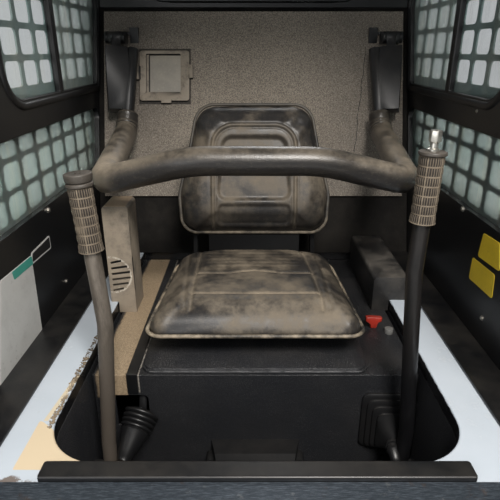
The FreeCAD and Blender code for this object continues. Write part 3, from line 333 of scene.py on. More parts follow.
def duct_paint(name):
    """Black paint under a thick tan coat of dust, with rubbed marks, rust spots and painted shade inside its slots."""
    finish = Finish(name, 0.72)
    finish.colour(finish.mix(finish.noise(9.0, 9.0, 0.72, 0.26, 0.56), (0.065, 0.057, 0.048), (0.28, 0.233, 0.178)))
    finish.lay(finish.noise(30.0, 8.0, 0.8, 0.62, 0.7) * 0.5, (0.42, 0.37, 0.3))
    finish.lay(finish.noise(48.0, 6.0, 0.7, 0.66, 0.72) * 0.8, (0.14, 0.055, 0.022))
    finish.lay(finish.along("Z", 0.6985, 0.7005) * 0.7, (0.36, 0.255, 0.16))
    # Painted shade inside the slots: near black above, a little lighter at their foot.
    slot_shade = finish.within(Y=(0.015, 0.0235, 0.0004), Z=(0.48, 0.57, 0.004)) * finish.along("X", -0.354, -0.351)
    finish.lay(slot_shade, finish.mix(finish.along("Z", 0.505, 0.53), (0.085, 0.072, 0.058), (0.004, 0.004, 0.004)))
    aside, above = finish.at("X") + 0.3525, finish.at("Z") - 0.5235
    off = finish.math("SQRT", aside * aside + above * above)
    edge = finish.ranged(off, 0.0445, 0.0465) * (1 - finish.ranged(off, 0.0485, 0.0515))
    edge = edge * finish.noise(110.0, 4.0, 0.8, 0.42, 0.52) * (1 - finish.along("Y", 0.0145, 0.016))
    finish.lay(edge * 0.9, (0.55, 0.5, 0.42))
    finish.bump(finish.noise(70.0, 6.0, 0.7), 0.35, 0.0012)
    return finish


def liner_mat(name):
    """Pressed speckled liner: brown-grey with pale and dark flecks, painted shade at its sides, split on its right,
    painted shadow round the frame.
    """
    finish = Finish(name, 0.72)
    finish.colour(finish.mix(finish.noise(4.0, 6.0, 0.65, 0.3, 0.7), (0.175, 0.151, 0.125), (0.255, 0.218, 0.176)))
    # Painted light: the middle of the wall is lighter, leaving painted shade at its sides where the pillars shadow it.
    finish.lay(finish.within(X=(-0.25, 0.22, 0.16), Z=(0.72, 1.32, 0.1)) * 0.85, (0.44, 0.378, 0.302))
    finish.lay(finish.noise(300.0, 4.0, 0.7, 0.4, 0.6) * 0.75, (0.085, 0.074, 0.063))
    finish.lay(finish.noise(430.0, 2.0, 0.6, 0.57, 0.67) * 0.55, (0.56, 0.5, 0.42))
    split = finish.at("X") + finish.at("Z") * -0.112 + finish.noise(16.0, 5.0, 0.7) * 0.024 - 0.239
    split = (1 - finish.ranged(finish.math("ABSOLUTE", split), 0.0006, 0.0016)) * finish.within(Z=(0.745, 1.05, 0.004))
    # Painted shadow: a dark rectangle on the liner round the pocket frame, joined with the real split.
    frame_shadow = finish.within(X=(-0.3525, -0.1935, 0.001), Z=(0.8845, 1.0435, 0.001))
    finish.lay((split | frame_shadow) * 0.85, (0.012, 0.01, 0.009))
    finish.bump(finish.cells(260.0, 0.0, 0.7), 0.6, 0.0016)
    finish.bump(finish.noise(22.0, 5.0, 0.6), 0.3, 0.003)
    return finish


def window_glass(name):
    """Side glass: clear ahead of the divider, a milky film that the daylight shines through elsewhere."""
    finish = Finish(name, 0.1, specular=0.4)
    film = finish.noise(7.0, 8.0, 0.7, 0.3, 0.75)
    runs = finish.noise(34.0, 6.0, 0.7, 0.46, 0.72, stretch=(1, 1, 0.1))
    low_pane = 1 - finish.along("Z", 0.895, 0.905)
    milky = (low_pane | finish.along("Y", 0.19, 0.215) * 0.55) * (1 - finish.along("Y", 0.6, 0.62))
    finish.colour(finish.mix(film, (0.7, 0.86, 0.81), (0.84, 0.92, 0.88)))
    finish.lay(runs * 0.6, (0.9, 0.88, 0.7))
    finish.plug(milky * 0.8 + (film * 0.12 + runs * 0.1 + 0.05), finish.shader.inputs["Alpha"])
    finish.plug(milky * 0.86, finish.shader.inputs["Transmission Weight"])
    finish.shader.inputs["IOR"].default_value = 1.25
    finish.rough(finish.ranged(milky, 0.0, 1.0, 0.1, 0.62))
    return finish


def seat_vinyl(name):
    """Worn black vinyl: fine grain, brown dust in patches, dust packed into its sewn lines."""
    finish = Finish(name, 0.4)
    cover = finish.noise(6.5, 8.0, 0.68, 0.42, 0.64) * finish.upward(-0.9, 0.9) * 0.66
    cover = cover + finish.noise(210.0, 3.0, 0.6, 0.58, 0.68) * 0.1
    cover = cover + finish.noise(26.0, 7.0, 0.75, 0.5, 0.72, stretch=(1, 0.35, 1)) * 0.2 + finish.kept("crease")
    finish.colour(finish.mix(finish.noise(30.0, 5.0, 0.6), (0.013, 0.0125, 0.013), (0.026, 0.024, 0.023)))
    finish.lay(cover, (0.215, 0.175, 0.125))
    finish.rough(finish.ranged(cover, 0.0, 0.9, 0.36, 0.8))
    finish.bump(finish.cells(620.0, 0.0, 0.7), 0.22, 0.0005)
    finish.bump(finish.noise(70.0, 5.0, 0.6), 0.12, 0.0012)
    return finish


def bead_vinyl(name):
    """Welt of a cushion: black vinyl rubbed pale with dust."""
    finish = Finish(name, 0.5)
    rubbed = finish.noise(11.0, 6.0, 0.7, 0.38, 0.62) * (1 - finish.along("Z", 0.59, 0.63) * 0.85)
    finish.colour(finish.mix(rubbed, (0.026, 0.024, 0.021), (0.35, 0.29, 0.21)))
    finish.bump(finish.noise(300.0, 3.0, 0.6), 0.2, 0.0005)
    return finish


def bar_foam(name):
    """Foam sleeve: black below, rubbed with tan dust on top and at its left corner, pitted."""
    finish = Finish(name, 0.55)
    cover = finish.noise(10.0, 8.0, 0.7, 0.28, 0.62) * finish.upward(0.05, 1.0) * 0.6
    cover = cover + finish.noise(180.0, 3.0, 0.7, 0.55, 0.66) * 0.06
    cover = cover + finish.noise(40.0, 6.0, 0.7, 0.45, 0.7, stretch=(0.3, 1, 1)) * 0.04
    cover = cover + (1 - finish.along("X", -0.345, -0.285)) * ((1 - finish.along("Z", 0.8, 0.83)) * 0.35)
    cover = cover * finish.ranged(finish.at("Z"), 0.82, 0.88, 1.0, 0.35)
    finish.colour(finish.mix(finish.noise(50.0, 5.0, 0.6), (0.011, 0.0105, 0.0105), (0.022, 0.02, 0.019)))
    finish.lay(cover, (0.33, 0.275, 0.205))
    finish.rough(finish.ranged(cover, 0.0, 0.9, 0.3, 0.8))
    finish.bump(finish.noise(45.0, 6.0, 0.65), 0.3, 0.002)
    finish.bump(finish.cells(330.0, 0.0, 0.6), 0.25, 0.0006)
    return finish


def lever_paint(name):
    """Lever tube: bare rubbed steel, brown-grey, darker and glossier low down."""
    finish = Finish(name, 0.34, metallic=0.3)
    mottled = finish.noise(50.0, 6.0, 0.7, 0.35, 0.7, stretch=(1, 1, 0.25))
    right = finish.along("X", -0.05, 0.05)
    left_tone = finish.mix(mottled, (0.18, 0.156, 0.13), (0.09, 0.076, 0.062))
    right_tone = finish.mix(mottled, (0.022, 0.02, 0.019), (0.01, 0.0095, 0.0095))
    finish.colour(finish.mix(right, (0.12, 0.101, 0.083), (0.008, 0.008, 0.009)))
    finish.lay(finish.along("Z", 0.42, 0.6), finish.mix(right, left_tone, right_tone))
    finish.rough(finish.ranged(mottled, 0.0, 1.0, 0.28, 0.5))
    finish.bump(finish.noise(240.0, 4.0, 0.6), 0.12, 0.0005)
    return finish


def grip_rubber(name):
    """Ribbed rubber grip: dust on the raised bars, dark in the grooves."""
    finish = Finish(name, 0.72)
    raised = finish.kept("relief")
    dusty = finish.mix(finish.noise(40.0, 6.0, 0.7, 0.3, 0.7), (0.1, 0.078, 0.055), (0.175, 0.14, 0.1))
    finish.colour(finish.mix(finish.ranged(raised, 0.25, 0.8), (0.016, 0.012, 0.009), dusty))
    pale = finish.ranged(raised, 0.9, 1.0) * finish.noise(90.0, 4.0, 0.7, 0.32, 0.6)
    finish.lay(pale * 0.6, (0.38, 0.31, 0.22))
    finish.bump(finish.noise(300.0, 3.0, 0.6), 0.2, 0.0006)
    return finish


def frame_plastic(name):
    """Frame on the liner: dusty tan on its face, black on its sides as painted shade."""
    finish = Finish(name, 0.55)
    tone = finish.mix(finish.noise(34.0, 7.0, 0.75, 0.25, 0.55), (0.11, 0.094, 0.076), (0.32, 0.27, 0.21))
    # Painted shade: the sides that don't face forward are black.
    faces_front = finish.ranged(finish.facing("Y"), -0.9, -0.8, 1.0, 0.0)
    finish.colour(finish.mix(faces_front, (0.012, 0.011, 0.01), tone))
    finish.bump(finish.noise(300.0, 3.0, 0.6), 0.25, 0.0006)
    return finish


def metal(name, base, roughness):
    finish = Finish(name, roughness, metallic=0.9)
    marks = finish.noise(120.0, 6.0, 0.7, 0.35, 0.75)
    finish.colour(finish.mix(marks, base, tuple(channel * 0.6 for channel in base)))
    finish.bump(finish.noise(300.0, 3.0, 0.6), 0.15, 0.0004)
    return finish


def plate_film(name, base):
    """Blank printed plate: flat colour, scuffed and dulled in patches."""
    finish = Finish(name, 0.45)
    finish.colour(base)
    finish.lay(finish.noise(14.0, 6.0, 0.7, 0.4, 0.8) * 0.35, tuple(channel * 0.45 for channel in base))
    finish.lay(finish.noise(70.0, 8.0, 0.75, 0.58, 0.72) * 0.45, (0.1, 0.09, 0.08))
    finish.bump(finish.noise(160.0, 4.0, 0.6), 0.1, 0.0004)
    return finish.material


def pocket_film(name):
    """Panel inside the frame: pale scuffed film, with painted shade along its edges."""
    finish = dusted(name, (0.34, 0.315, 0.275), 0.28, 0.4, 0.7, dust=(0.52, 0.46, 0.37))
    # Painted shade: a dark border round the panel where the frame's edge overhangs it.
    inside = finish.within(X=(-0.318, -0.222, 0.0015), Z=(0.919, 1.024, 0.0015))
    finish.lay(1 - inside, (0.014, 0.012, 0.011))
    return finish.material


MATERIALS = {make.__name__: make(make.__name__ + "_finish").material for make in (
    black_paint, box_coating, white_paint, worn_steel, duct_paint, liner_mat, window_glass, seat_vinyl, bar_foam,
    lever_paint, grip_rubber, frame_plastic)}
MATERIALS["stub_metal"] = metal("stub_metal_finish", (0.66, 0.64, 0.58), 0.3).material

# Dusted finishes of the other slots, and of single nodes: colour, roughness, dust settled, dust film, specular, dust
DUSTED = (
    ("seal_rubber", (0.007, 0.0072, 0.008), 0.36, 0.14, 0.03),
    ("guard_paint", (0.12, 0.185, 0.185), 0.5, 0.6, 0.15, 0.5, PALE_DUST),
    ("seat_plastic", (0.0058, 0.006, 0.0066), 0.72, 0.05, 0.02, 0.2),
    ("arm_paint", (0.012, 0.0125, 0.014), 0.42, 0.3, 0.07),
    ("cap_plastic", (0.045, 0.038, 0.031), 0.42, 0.7, 0.3),
    ("knob_red", (0.36, 0.022, 0.01), 0.35, 0.35, 0.1),
    ("button_grey", (0.13, 0.13, 0.125), 0.5, 0.4, 0.1),
    ("roof", (0.007, 0.0072, 0.0078), 0.66, 0.45, 0.1, 0.3),
    ("rear_wall", (0.007, 0.0065, 0.006), 0.8, 0.3, 0.1, 0.12),
    ("side_case", (0.015, 0.015, 0.0155), 0.45, 0.5, 0.3),
)
for key, *values in DUSTED:
    MATERIALS[key] = dusted(key + "_finish", *values).material
BEAD = bead_vinyl("bead_vinyl_finish").material
BOLT_STEEL = metal("bolt_steel_finish", (0.42, 0.4, 0.36), 0.4).material
WHITE_FILM = plate_film("white_film_finish", (0.55, 0.55, 0.53))
TEAL_FILM = plate_film("teal_film_finish", (0.05, 0.3, 0.24))
BLACK_FILM = plate_film("black_film_finish", (0.012, 0.012, 0.013))
YELLOW_FILM = plate_film("yellow_film_finish", (0.7, 0.5, 0.03))
POCKET_FILM = pocket_film("pocket_film_finish")


def finish_of(node):
    """A node's own finish, or that of its slot."""
    return MATERIALS.get(node) or MATERIALS[slot_of[node]]


def dress_frame():
    """Gives every carried-over node its finish."""
    for name, item in nodes.items():
        item.data.materials.clear()
        item.data.materials.append(finish_of(name))


# Mesh helpers

def mesh_of(name, work, sharp=40.0):
    """Mesh of a bmesh, smooth but for edges sharper than the angle."""
    mesh = bpy.data.meshes.new(name)
    work.to_mesh(mesh)
    work.free()
    mesh.polygons.foreach_set("use_smooth", [True] * len(mesh.polygons))
    mesh.set_sharp_from_angle(angle=math.radians(sharp))
    return mesh


def add_piece(name, mesh, body, finish, replaced=None):
    """A new piece that rides on a body and may stand for a node of the frame."""
    item = bpy.data.objects.new(name, mesh)
    bpy.context.scene.collection.objects.link(item)
    mesh.materials.clear()
    mesh.materials.append(finish)
    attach(item, body)
    if replaced:
        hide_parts(replaced)
    return item


def stand_in(name, mesh, node):
    """A new piece that stands for one node, with that node's body and finish."""
    return add_piece(name, mesh, nodes[node]["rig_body"], finish_of(node), node)


def joined(name, meshes, sharp):
    """One mesh of several, which are used up."""
    work = bmesh.new()
    for mesh in meshes:
        work.from_mesh(mesh)
        bpy.data.meshes.remove(mesh)
    return mesh_of(name, work, sharp)


def keep_values(mesh, name, values):
    """Values at the mesh's points, for its finish to read."""
    mesh.attributes.new(name, "FLOAT", "POINT").data.foreach_set("value", values)


# Corner of the seat box's cut-out that is rounded: across and up
CUTOUT_CORNER = (-0.224, 0.37)


def round_edges(item, width, segments, angle, harden):
    edges = item.modifiers.new("rounded_edges", "BEVEL")
    edges.width, edges.segments = width, segments
    edges.limit_method, edges.angle_limit = "ANGLE", math.radians(angle)
    edges.harden_normals = harden


def softened(node, width):
    """Copy of a node with its sharp edges rounded, standing for the node."""
    work = bmesh.new()
    work.from_mesh(nodes[node].data)
    bmesh.ops.remove_doubles(work, verts=work.verts, dist=1e-5)
    if node == "seat_box":
        corner = [edge for edge in work.edges
                  if all(math.dist((end.co.x, end.co.z), CUTOUT_CORNER) < 1e-4 for end in edge.verts)]
        bmesh.ops.bevel(work, geom=corner, offset=0.013, offset_type="OFFSET", segments=5, profile=0.5,
                        affect="EDGES")
    round_edges(stand_in(node + "_shape", mesh_of(node + "_shape", work), node), width, 2, 35, True)


def skin(name, rings, closed=False, sharp=40.0):
    """Quads between rings of points, with a face across each end or from the last ring to the first."""
    work = bmesh.new()
    loops = [[work.verts.new(point) for point in ring] for ring in rings]
    pairs = list(zip(loops, loops[1:])) + ([(loops[-1], loops[0])] if closed else [])
    for near, far in pairs:
        for index in range(len(near)):
            work.faces.new((near[index - 1], near[index], far[index], far[index - 1]))
    if not closed:
        work.faces.new(loops[0][::-1])
        work.faces.new(loops[-1])
    bmesh.ops.recalc_face_normals(work, faces=work.faces)
    return mesh_of(name, work, sharp)


def angles(count):
    return [2 * math.pi * step / count for step in range(count)]


def lathed(name, profile, base, axis, around=48, radius_at=None, sharp=40.0):
    """Round piece: profile of radius and reach along an axis, its radius varied by a function."""
    turn = Vector(axis).to_track_quat("Z", "Y").to_matrix()
    rings = []
    for radius, reach in profile:
        ring = []
        for angle in angles(around):
            wide = radius_at(radius, reach, angle) if radius_at else radius
            ring.append(Vector(base) + turn @ Vector((wide * math.cos(angle), wide * math.sin(angle), reach)))
        rings.append(ring)
    return skin(name, rings, sharp=sharp)


def evenly(points, step, closed=False):
    """The same line with its points about a step apart."""
    if closed:
        points = list(points) + [points[0]]
    runs = [(end - start).length for start, end in zip(points, points[1:])]
    count = max(2, round(sum(runs) / step))
    placed = []
    index, passed = 0, 0.0
    for number in range(count if closed else count + 1):
        want = sum(runs) * number / count
        while index < len(runs) - 1 and passed + runs[index] < want:
            passed += runs[index]
            index += 1
        share = (want - passed) / runs[index] if runs[index] else 0.0
        placed.append(points[index].lerp(points[index + 1], min(share, 1.0)))
    return placed


def arc_corner(back, here, ahead, bend, step):
    """Points of the arc that rounds a corner of a line."""
    to_back = (back - here).normalized()
    to_ahead = (ahead - here).normalized()
    half = to_back.angle(to_ahead) / 2
    centre = here + (to_back + to_ahead).normalized() * bend / math.sin(half)
    first = (here + to_back * bend / math.tan(half) - centre).normalized()
    last = (here + to_ahead * bend / math.tan(half) - centre).normalized()
    steps = max(2, math.ceil((math.pi - 2 * half) * bend / step))
    return [centre + first.slerp(last, number / steps) * bend for number in range(steps + 1)]


def open_route(corners, bends, step):
    """Line of straight runs with rounded corners."""
    points = [corners[0]]
    for index, bend in enumerate(bends, start=1):
        points += arc_corner(corners[index - 1], corners[index], corners[index + 1], bend, bend / 12)
    return evenly(points + [corners[-1]], step)


def closed_outline(corners, radii, step):
    """Closed flat line of straight sides and round corners, in the XY plane."""
    corners = [Vector((across, up, 0)) for across, up in corners]
    points = []
    for index, radius in enumerate(radii):
        points += arc_corner(corners[index - 1], corners[index], corners[(index + 1) % len(corners)],
                             radius, radius / 12)
    return evenly(points, step, closed=True)


def swept(name, path, radius_at, sides, closed=False, plane=None):
    """Tube along a path; radius_at gives its radius from the distance along it and the angle round it.

    With the normal of the path's plane given, the angle runs from that plane's outside.
    """
    rings = []
    across = None
    passed = 0.0
    for index, point in enumerate(path):
        before = path[index - 1] if index or closed else point
        after = path[(index + 1) % len(path)] if closed or index + 1 < len(path) else point
        ahead = (after - before).normalized()
        if across is None:
            across = ahead.orthogonal().normalized()
        across = ahead.cross(plane) if plane else (across - ahead * across.dot(ahead)).normalized()
        up = ahead.cross(across)
        passed += (point - path[index - 1]).length if index else 0.0
        rings.append([point + (across * math.cos(angle) + up * math.sin(angle)) * radius_at(passed, angle)
                      for angle in angles(sides)])
    return skin(name, rings, closed)


def flat_plate(name, corners, thick, radius, place):
    """Thin plate with round corners; place turns its flat points and depth into the frame."""
    outline = closed_outline(corners, (radius,) * len(corners), 0.004)
    middle = sum(outline, Vector()) / len(outline)
    return skin(name, [[place(point + (middle - point).normalized() * inset, depth) for point in outline]
                       for inset, depth in ((0.0, 0.0), (0.0, 0.6 * thick), (0.4 * thick, thick))])


# Upholstery

def evaluated(item):
    """The item's mesh with its modifiers applied."""
    graph = bpy.context.evaluated_depsgraph_get()
    return bpy.data.meshes.new_from_object(item.evaluated_get(graph))


def inflate(item, is_held, cap, pressure=4.0):
    """Swells a form as cloth with part of it held, and caps how far each point moves."""
    rest = [vertex.co.copy() for vertex in item.data.vertices]
    held = item.vertex_groups.new(name="held")
    held.add([index for index, place in enumerate(rest) if is_held(place)], 1.0, "REPLACE")
    cloth = item.modifiers.new("cloth", "CLOTH")
    cloth.settings.use_pressure = True
    cloth.settings.uniform_pressure_force = pressure
    cloth.settings.effector_weights.gravity = 0
    cloth.settings.vertex_group_mass = "held"
    cloth.settings.quality = 4
    for step in range(1, 21):
        bpy.context.scene.frame_set(step)
    swollen = evaluated(item)
    for vertex, start in zip(swollen.vertices, rest):
        move = vertex.co - start
        if move.length > cap:
            vertex.co = start + move * (cap / move.length)
    item.modifiers.clear()
    item.data = swollen
    bpy.context.scene.frame_set(1)


def padded_form(name, rings, is_held, cap, voxel=0.005):
    """Closed form remeshed evenly, swollen as cloth and subdivided once."""
    item = bpy.data.objects.new(name, skin(name, rings))
    bpy.context.scene.collection.objects.link(item)
    even = item.modifiers.new("even", "REMESH")
    even.mode = "VOXEL"
    even.voxel_size = voxel
    item.data = evaluated(item)
    item.modifiers.clear()
    inflate(item, is_held, cap)
    smooth = item.modifiers.new("smooth", "CORRECTIVE_SMOOTH")
    smooth.use_only_smooth = True
    smooth.iterations = 4
    finer = item.modifiers.new("finer", "SUBSURF")
    finer.levels = 1
    mesh = evaluated(item)
    bpy.data.objects.remove(item)
    mesh.polygons.foreach_set("use_smooth", [True] * len(mesh.polygons))
    return mesh


def line_distance(flat, points):
    """Distance of flat places from a line of points."""
    nearest = np.full(len(flat), 9.0)
    for start, end in zip(points, points[1:]):
        start, run = np.array(start), np.array(end) - np.array(start)
        share = np.clip(((flat - start) @ run) / (run @ run), 0, 1)
        nearest = np.minimum(nearest, np.linalg.norm(flat - start - share[:, None] * run, axis=1))
    return nearest


def panel_depth(flat, middle, half_low, half_high, half_up, corner):
    """Signed distance outside a panel with round corners that narrows upward."""
    up = flat[:, 1] - middle[1]
    half = half_low + (half_high - half_low) * np.clip(up / (2 * half_up) + 0.5, 0, 1)
    outside = np.abs(np.stack([flat[:, 0] - middle[0], up], axis=1)) - np.stack(
        [half - corner, np.full(len(flat), half_up - corner)], axis=1)
    return np.linalg.norm(np.maximum(outside, 0), axis=1) + np.minimum(outside.max(axis=1), 0) - corner


def stepped(value, width):
    """Smooth step from one, well below zero, to none, well above it."""
    share = np.clip(0.5 - value / (2 * width), 0, 1)
    return share * share * (3 - 2 * share)


def press(mesh, lines, panels=()):
    """Presses sewn lines and sunk panels into the side of a form that faces up.

    lines: points, depth, half width, dust kept in it. panels: middle, half width low and high, half height,
    corner, depth, edge.
    """
    places, normals = np.empty((2, len(mesh.vertices), 3))
    mesh.vertices.foreach_get("co", places.ravel())
    mesh.vertices.foreach_get("normal", normals.ravel())
    flat = places[:, :2]
    facing_share = np.clip((normals[:, 2] - 0.1) / 0.5, 0, 1)
    push = np.zeros(len(places))
    crease = np.zeros(len(places))
    for points, depth, width, dust in lines:
        share = np.exp(-(line_distance(flat, points) / width) ** 2)
        push += depth * share
        crease = np.maximum(crease, dust * share)
    for middle, half_low, half_high, half_up, corner, depth, edge in panels:
        push += depth * stepped(panel_depth(flat, middle, half_low, half_high, half_up, corner), edge)
    places -= normals * (push * facing_share)[:, None]
    mesh.vertices.foreach_set("co", places.ravel())
    keep_values(mesh, "crease", (crease * facing_share).astype(np.float32))
    mesh.update()


# Edge of a cushion: inset from the outline, and share of its thickness
SEAT_EDGE = ((0.02, 0.0), (0.008, 0.03), (0.003, 0.12), (0.002, 0.3), (0.004, 0.46), (0.01, 0.62), (0.019, 0.76),
             (0.03, 0.86), (0.048, 0.935), (0.075, 0.97), (0.11, 0.985), (0.15, 0.995), (0.19, 1.0))
BACK_EDGE = ((0.02, 0.0), (0.006, 0.04), (0.002, 0.2), (0.002, 0.4), (0.006, 0.6), (0.013, 0.76), (0.024, 0.88),
             (0.04, 0.955), (0.065, 0.98), (0.1, 0.99), (0.135, 1.0))


def edge_rings(outline, edge, half, middle, thick):
    """Rings of a crowned form: the outline drawn in towards its middle as it rises."""
    return [[Vector((point.x * (1 - inset / half[0]), middle + (point.y - middle) * (1 - inset / half[1]),
                     rise * thick)) for point in outline] for inset, rise in edge]


def seat_cushion():
    """Crowned seat cushion with a ribbed insert, side channels and a rolled front over a bead."""
    front, rear = CUSHION_LOW.y, CUSHION_HIGH.y
    half_front, half_rear, thick = 0.229, 0.205, CUSHION_HIGH.z - CUSHION_LOW.z
    corners = ((-half_front, front), (half_front, front), (half_rear, rear), (-half_rear, rear))
    radii = (0.034, 0.034, 0.07, 0.07)
    outline = closed_outline(corners, radii, 0.006)
    middle = (front + rear) / 2
    rings = edge_rings(outline, SEAT_EDGE, (half_front, (rear - front) / 2), middle, thick - 0.008)
    mesh = padded_form("seat_cushion_form", rings, lambda place: place.z < 0.012, 0.006)

    seams = [
        (((-0.138, 0.15), (-0.139, -0.06), (-0.137, -0.185)), 0.0032, 0.004, 0.3),
        (((0.122, 0.143), (0.137, -0.033), (0.141, -0.136), (0.142, -0.185)), 0.0032, 0.004, 0.25),
        (((-0.173, 0.128), (-0.16, -0.05), (-0.15, -0.182)), 0.0022, 0.005, 0.12),
        (((0.158, 0.128), (0.165, -0.05), (0.158, -0.182)), 0.0022, 0.005, 0.1),
        (((-0.138, -0.033), (-0.06, -0.035), (-0.03, -0.026), (0.0, -0.021), (0.03, -0.026), (0.06, -0.035),
          (0.137, -0.033)), 0.0034, 0.0034, 0.55),
        (((-0.138, -0.136), (0.0, -0.138), (0.141, -0.136)), 0.0034, 0.0034, 0.6),
        (((-0.136, 0.146), (0.0, 0.15), (0.12, 0.142)), 0.0024, 0.0042, 0.15),
    ]
    for row in range(7):
        along = 0.13 - 0.021 * row
        seams.append((((-0.112, along), (0.104, along)), 0.0011, 0.005, 0.06))
    press(mesh, seams)
    mesh.transform(Matrix.Translation((0, 0, CUSHION_LOW.z)))
    stand_in("seat_cushion_pad", mesh, "seat_cushion")

    rim = [Vector((point.x * 1.004, middle + (point.y - middle) * 1.003, CUSHION_LOW.z + 0.01))
           for point in closed_outline(corners, radii, 0.005)]

    def bead_radius(passed, _angle):
        return 0.0042 + 0.0004 * noise.noise(Vector((passed * 60, 0, 3)))

    add_piece("seat_cushion_bead", swept("seat_cushion_bead", rim, bead_radius, 12, closed=True), "seat", BEAD)


# Backrest: the foot of its front face, its lean, and its outline as distance across and up the face
BACK_FOOT = Vector((0, 0.152, 0.585))
BACK_LEAN = math.radians(16.7)
BACK_CORNERS = ((-0.197, 0.0), (0.197, 0.0), (0.205, 0.104), (0.173, 0.235), (0.153, 0.345),
                (-0.153, 0.345), (-0.173, 0.235), (-0.205, 0.104))
BACK_RADII = (0.045, 0.045, 0.09, 0.12, 0.055, 0.055, 0.12, 0.09)
BACK_THICK = 0.068


def backrest_place():
    """Brings a form drawn across, up and forward onto the leaning backrest's front face."""
    across = Vector((1, 0, 0))
    up = Vector((0, math.sin(BACK_LEAN), math.cos(BACK_LEAN)))
    turn = Matrix((across, up, across.cross(up))).transposed().to_4x4()
    return Matrix.Translation(BACK_FOOT) @ turn


def backrest():
    """Backrest cushion with a ridge round its middle, a sunk panel, a low panel and a rim."""
    outline = closed_outline(BACK_CORNERS, BACK_RADII, 0.006)
    middle = 0.172
    rings = edge_rings(outline, BACK_EDGE, (0.205, 0.172), middle, BACK_THICK - 0.008)
    mesh = padded_form("backrest_form", rings, lambda place: place.z < 0.012, 0.006)
    loops = []
    for half, top, corner, depth, width, dust in (
            (0.104, 0.279, 0.05, 0.0026, 0.0036, 0.1), (0.11, 0.285, 0.055, -0.0034, 0.0046, 0.28),
            (0.117, 0.291, 0.06, 0.002, 0.0036, 0.05)):
        line = [Vector((-half, 0.012, 0)), Vector((-half, top, 0)), Vector((half, top, 0)), Vector((half, 0.012, 0))]
        points = [(point.x, point.y) for point in open_route(line, (corner, corner), 0.01)]
        loops.append((points, depth, width, dust))
    panels = (
        ((0.0, 0.172), 0.098, 0.083, 0.082, 0.024, 0.0085, 0.007),
        ((0.0, 0.046), 0.096, 0.096, 0.028, 0.014, 0.0055, 0.006),
    )
    press(mesh, loops, panels)
    mesh.transform(Matrix.Translation((0, 0, -BACK_THICK)))
    mesh.transform(backrest_place())
    stand_in("backrest_pad", mesh, "backrest")

    place = backrest_place()
    rim = [place @ Vector((point.x * 1.004, middle + (point.y - middle) * 1.006, -0.05))
           for point in closed_outline(BACK_CORNERS, BACK_RADII, 0.005)]

    mesh = swept("backrest_rim", rim, lambda _passed, _angle: 0.0044, 12, closed=True)
    add_piece("backrest_rim", mesh, "seat", BEAD)


# Half of the lap bar's line, from an arm's upper end to the middle, and the bend at each inner point
BAR_LINE = ((0.3686, 0.4942, 0.993), (0.378, 0.4, 0.815), (0.33, -0.045, 0.776), (0.14, -0.07, 0.824))
BAR_BENDS = (0.06, 0.036, 0.3)
PAD_START_Z = 0.866
PAD_RADIUS = 0.0315


def lap_bar_padding():
    """Foam sleeve over the bar: slightly uneven, creased where it turns the corners."""
    head, elbow = Vector(BAR_LINE[0]), Vector(BAR_LINE[1])
    start = head.lerp(elbow, (head.z - PAD_START_Z) / (head.z - elbow.z))
    right = [start] + [Vector(point) for point in BAR_LINE[1:]]
    left = [Vector((-point.x, point.y, point.z)) for point in right]
    path = open_route(left + right[::-1], BAR_BENDS + BAR_BENDS[::-1], 0.006)
    corners = [Vector(BAR_LINE[1]), Vector(BAR_LINE[2])]
    corners += [Vector((-point.x, point.y, point.z)) for point in corners]
    total = sum((end - begin).length for begin, end in zip(path, path[1:]))
    nearness = [math.exp(-(min((point - corner).length for corner in corners) / 0.045) ** 2) for point in path]

    def radius(passed, angle):
        share = min(int(passed / total * (len(path) - 1) + 0.5), len(path) - 1)
        uneven = 0.0007 * noise.noise(Vector((passed * 14, math.cos(angle), math.sin(angle))))
        creases = 0.0011 * nearness[share] * math.sin(passed * 2 * math.pi / 0.017 + math.sin(angle))
        ends = 0.004 * max(0.0, 1 - min(passed, total - passed) / 0.006)
        return PAD_RADIUS - 0.0006 + uneven + creases - ends

    stand_in("lap_bar_sleeve", swept("lap_bar_sleeve", path, radius, 36), "lap_bar_padding")


# Levers

# Grips: side, foot of the grip and its direction, and whether the palm has worn its middle smooth
GRIPS = (
    ("left", (-0.284, LEVER_Y, 0.72), (-0.284 + 0.276, 0.0, 0.72 - 0.575), True),
    ("right", (0.279, LEVER_Y, 0.771), (0.279 - 0.277, 0.0, 0.771 - 0.68), False),
)
GRIP_LONG = 0.12
GRIP_COLLAR = 0.008
GRIP_ROWS = 7
GRIP_BLOCKS = 5
GRIP_RIBS = 5


def grip_mesh(name, base, axis, worn):
    """Rubber sleeve: rows of blocks with upright ribs between raised rings and seams."""
    sleeve = GRIP_LONG - GRIP_COLLAR
    reliefs = []

    def relief(reach, angle):
        row = reach / sleeve * GRIP_ROWS
        in_row = row - math.floor(row)
        ring = math.exp(-(min(in_row, 1 - in_row) / 0.1) ** 2)
        block = (angle / (2 * math.pi) * GRIP_BLOCKS) % 1.0
        seam = math.exp(-(min(block, 1 - block) / 0.07) ** 2)
        rib = 0.5 + 0.5 * math.cos(2 * math.pi * block * (GRIP_RIBS + 1))
        value = max(ring, seam, 0.75 * rib)
        if worn:
            palm = math.exp(-((reach - 0.42 * sleeve) / (0.17 * sleeve)) ** 2)
            palm *= 0.5 + 0.5 * math.cos(angle + 1.9)
            value += (0.8 - value) * min(1.4 * palm, 1.0)
        return value

    def radius(_wide, reach, angle):
        reliefs.append(relief(reach, angle))
        flare = 0.0022 * math.exp(-reach / 0.004)
        belly = 0.001 * abs(math.sin(math.pi * reach / sleeve * GRIP_ROWS))
        return 0.0188 + 0.0017 * (reliefs[-1] - 0.55) + flare + belly

    profile = [(0, sleeve * step / 126) for step in range(127)]
    mesh = lathed(name, profile, base, axis, 200, radius, 180.0)
    keep_values(mesh, "relief", reliefs)
    return mesh


def hexagon(angle):
    """Distance to a hexagon's side at an angle, for a corner at one."""
    return math.cos(math.pi / 6) / math.cos((angle % (math.pi / 3)) - math.pi / 6)


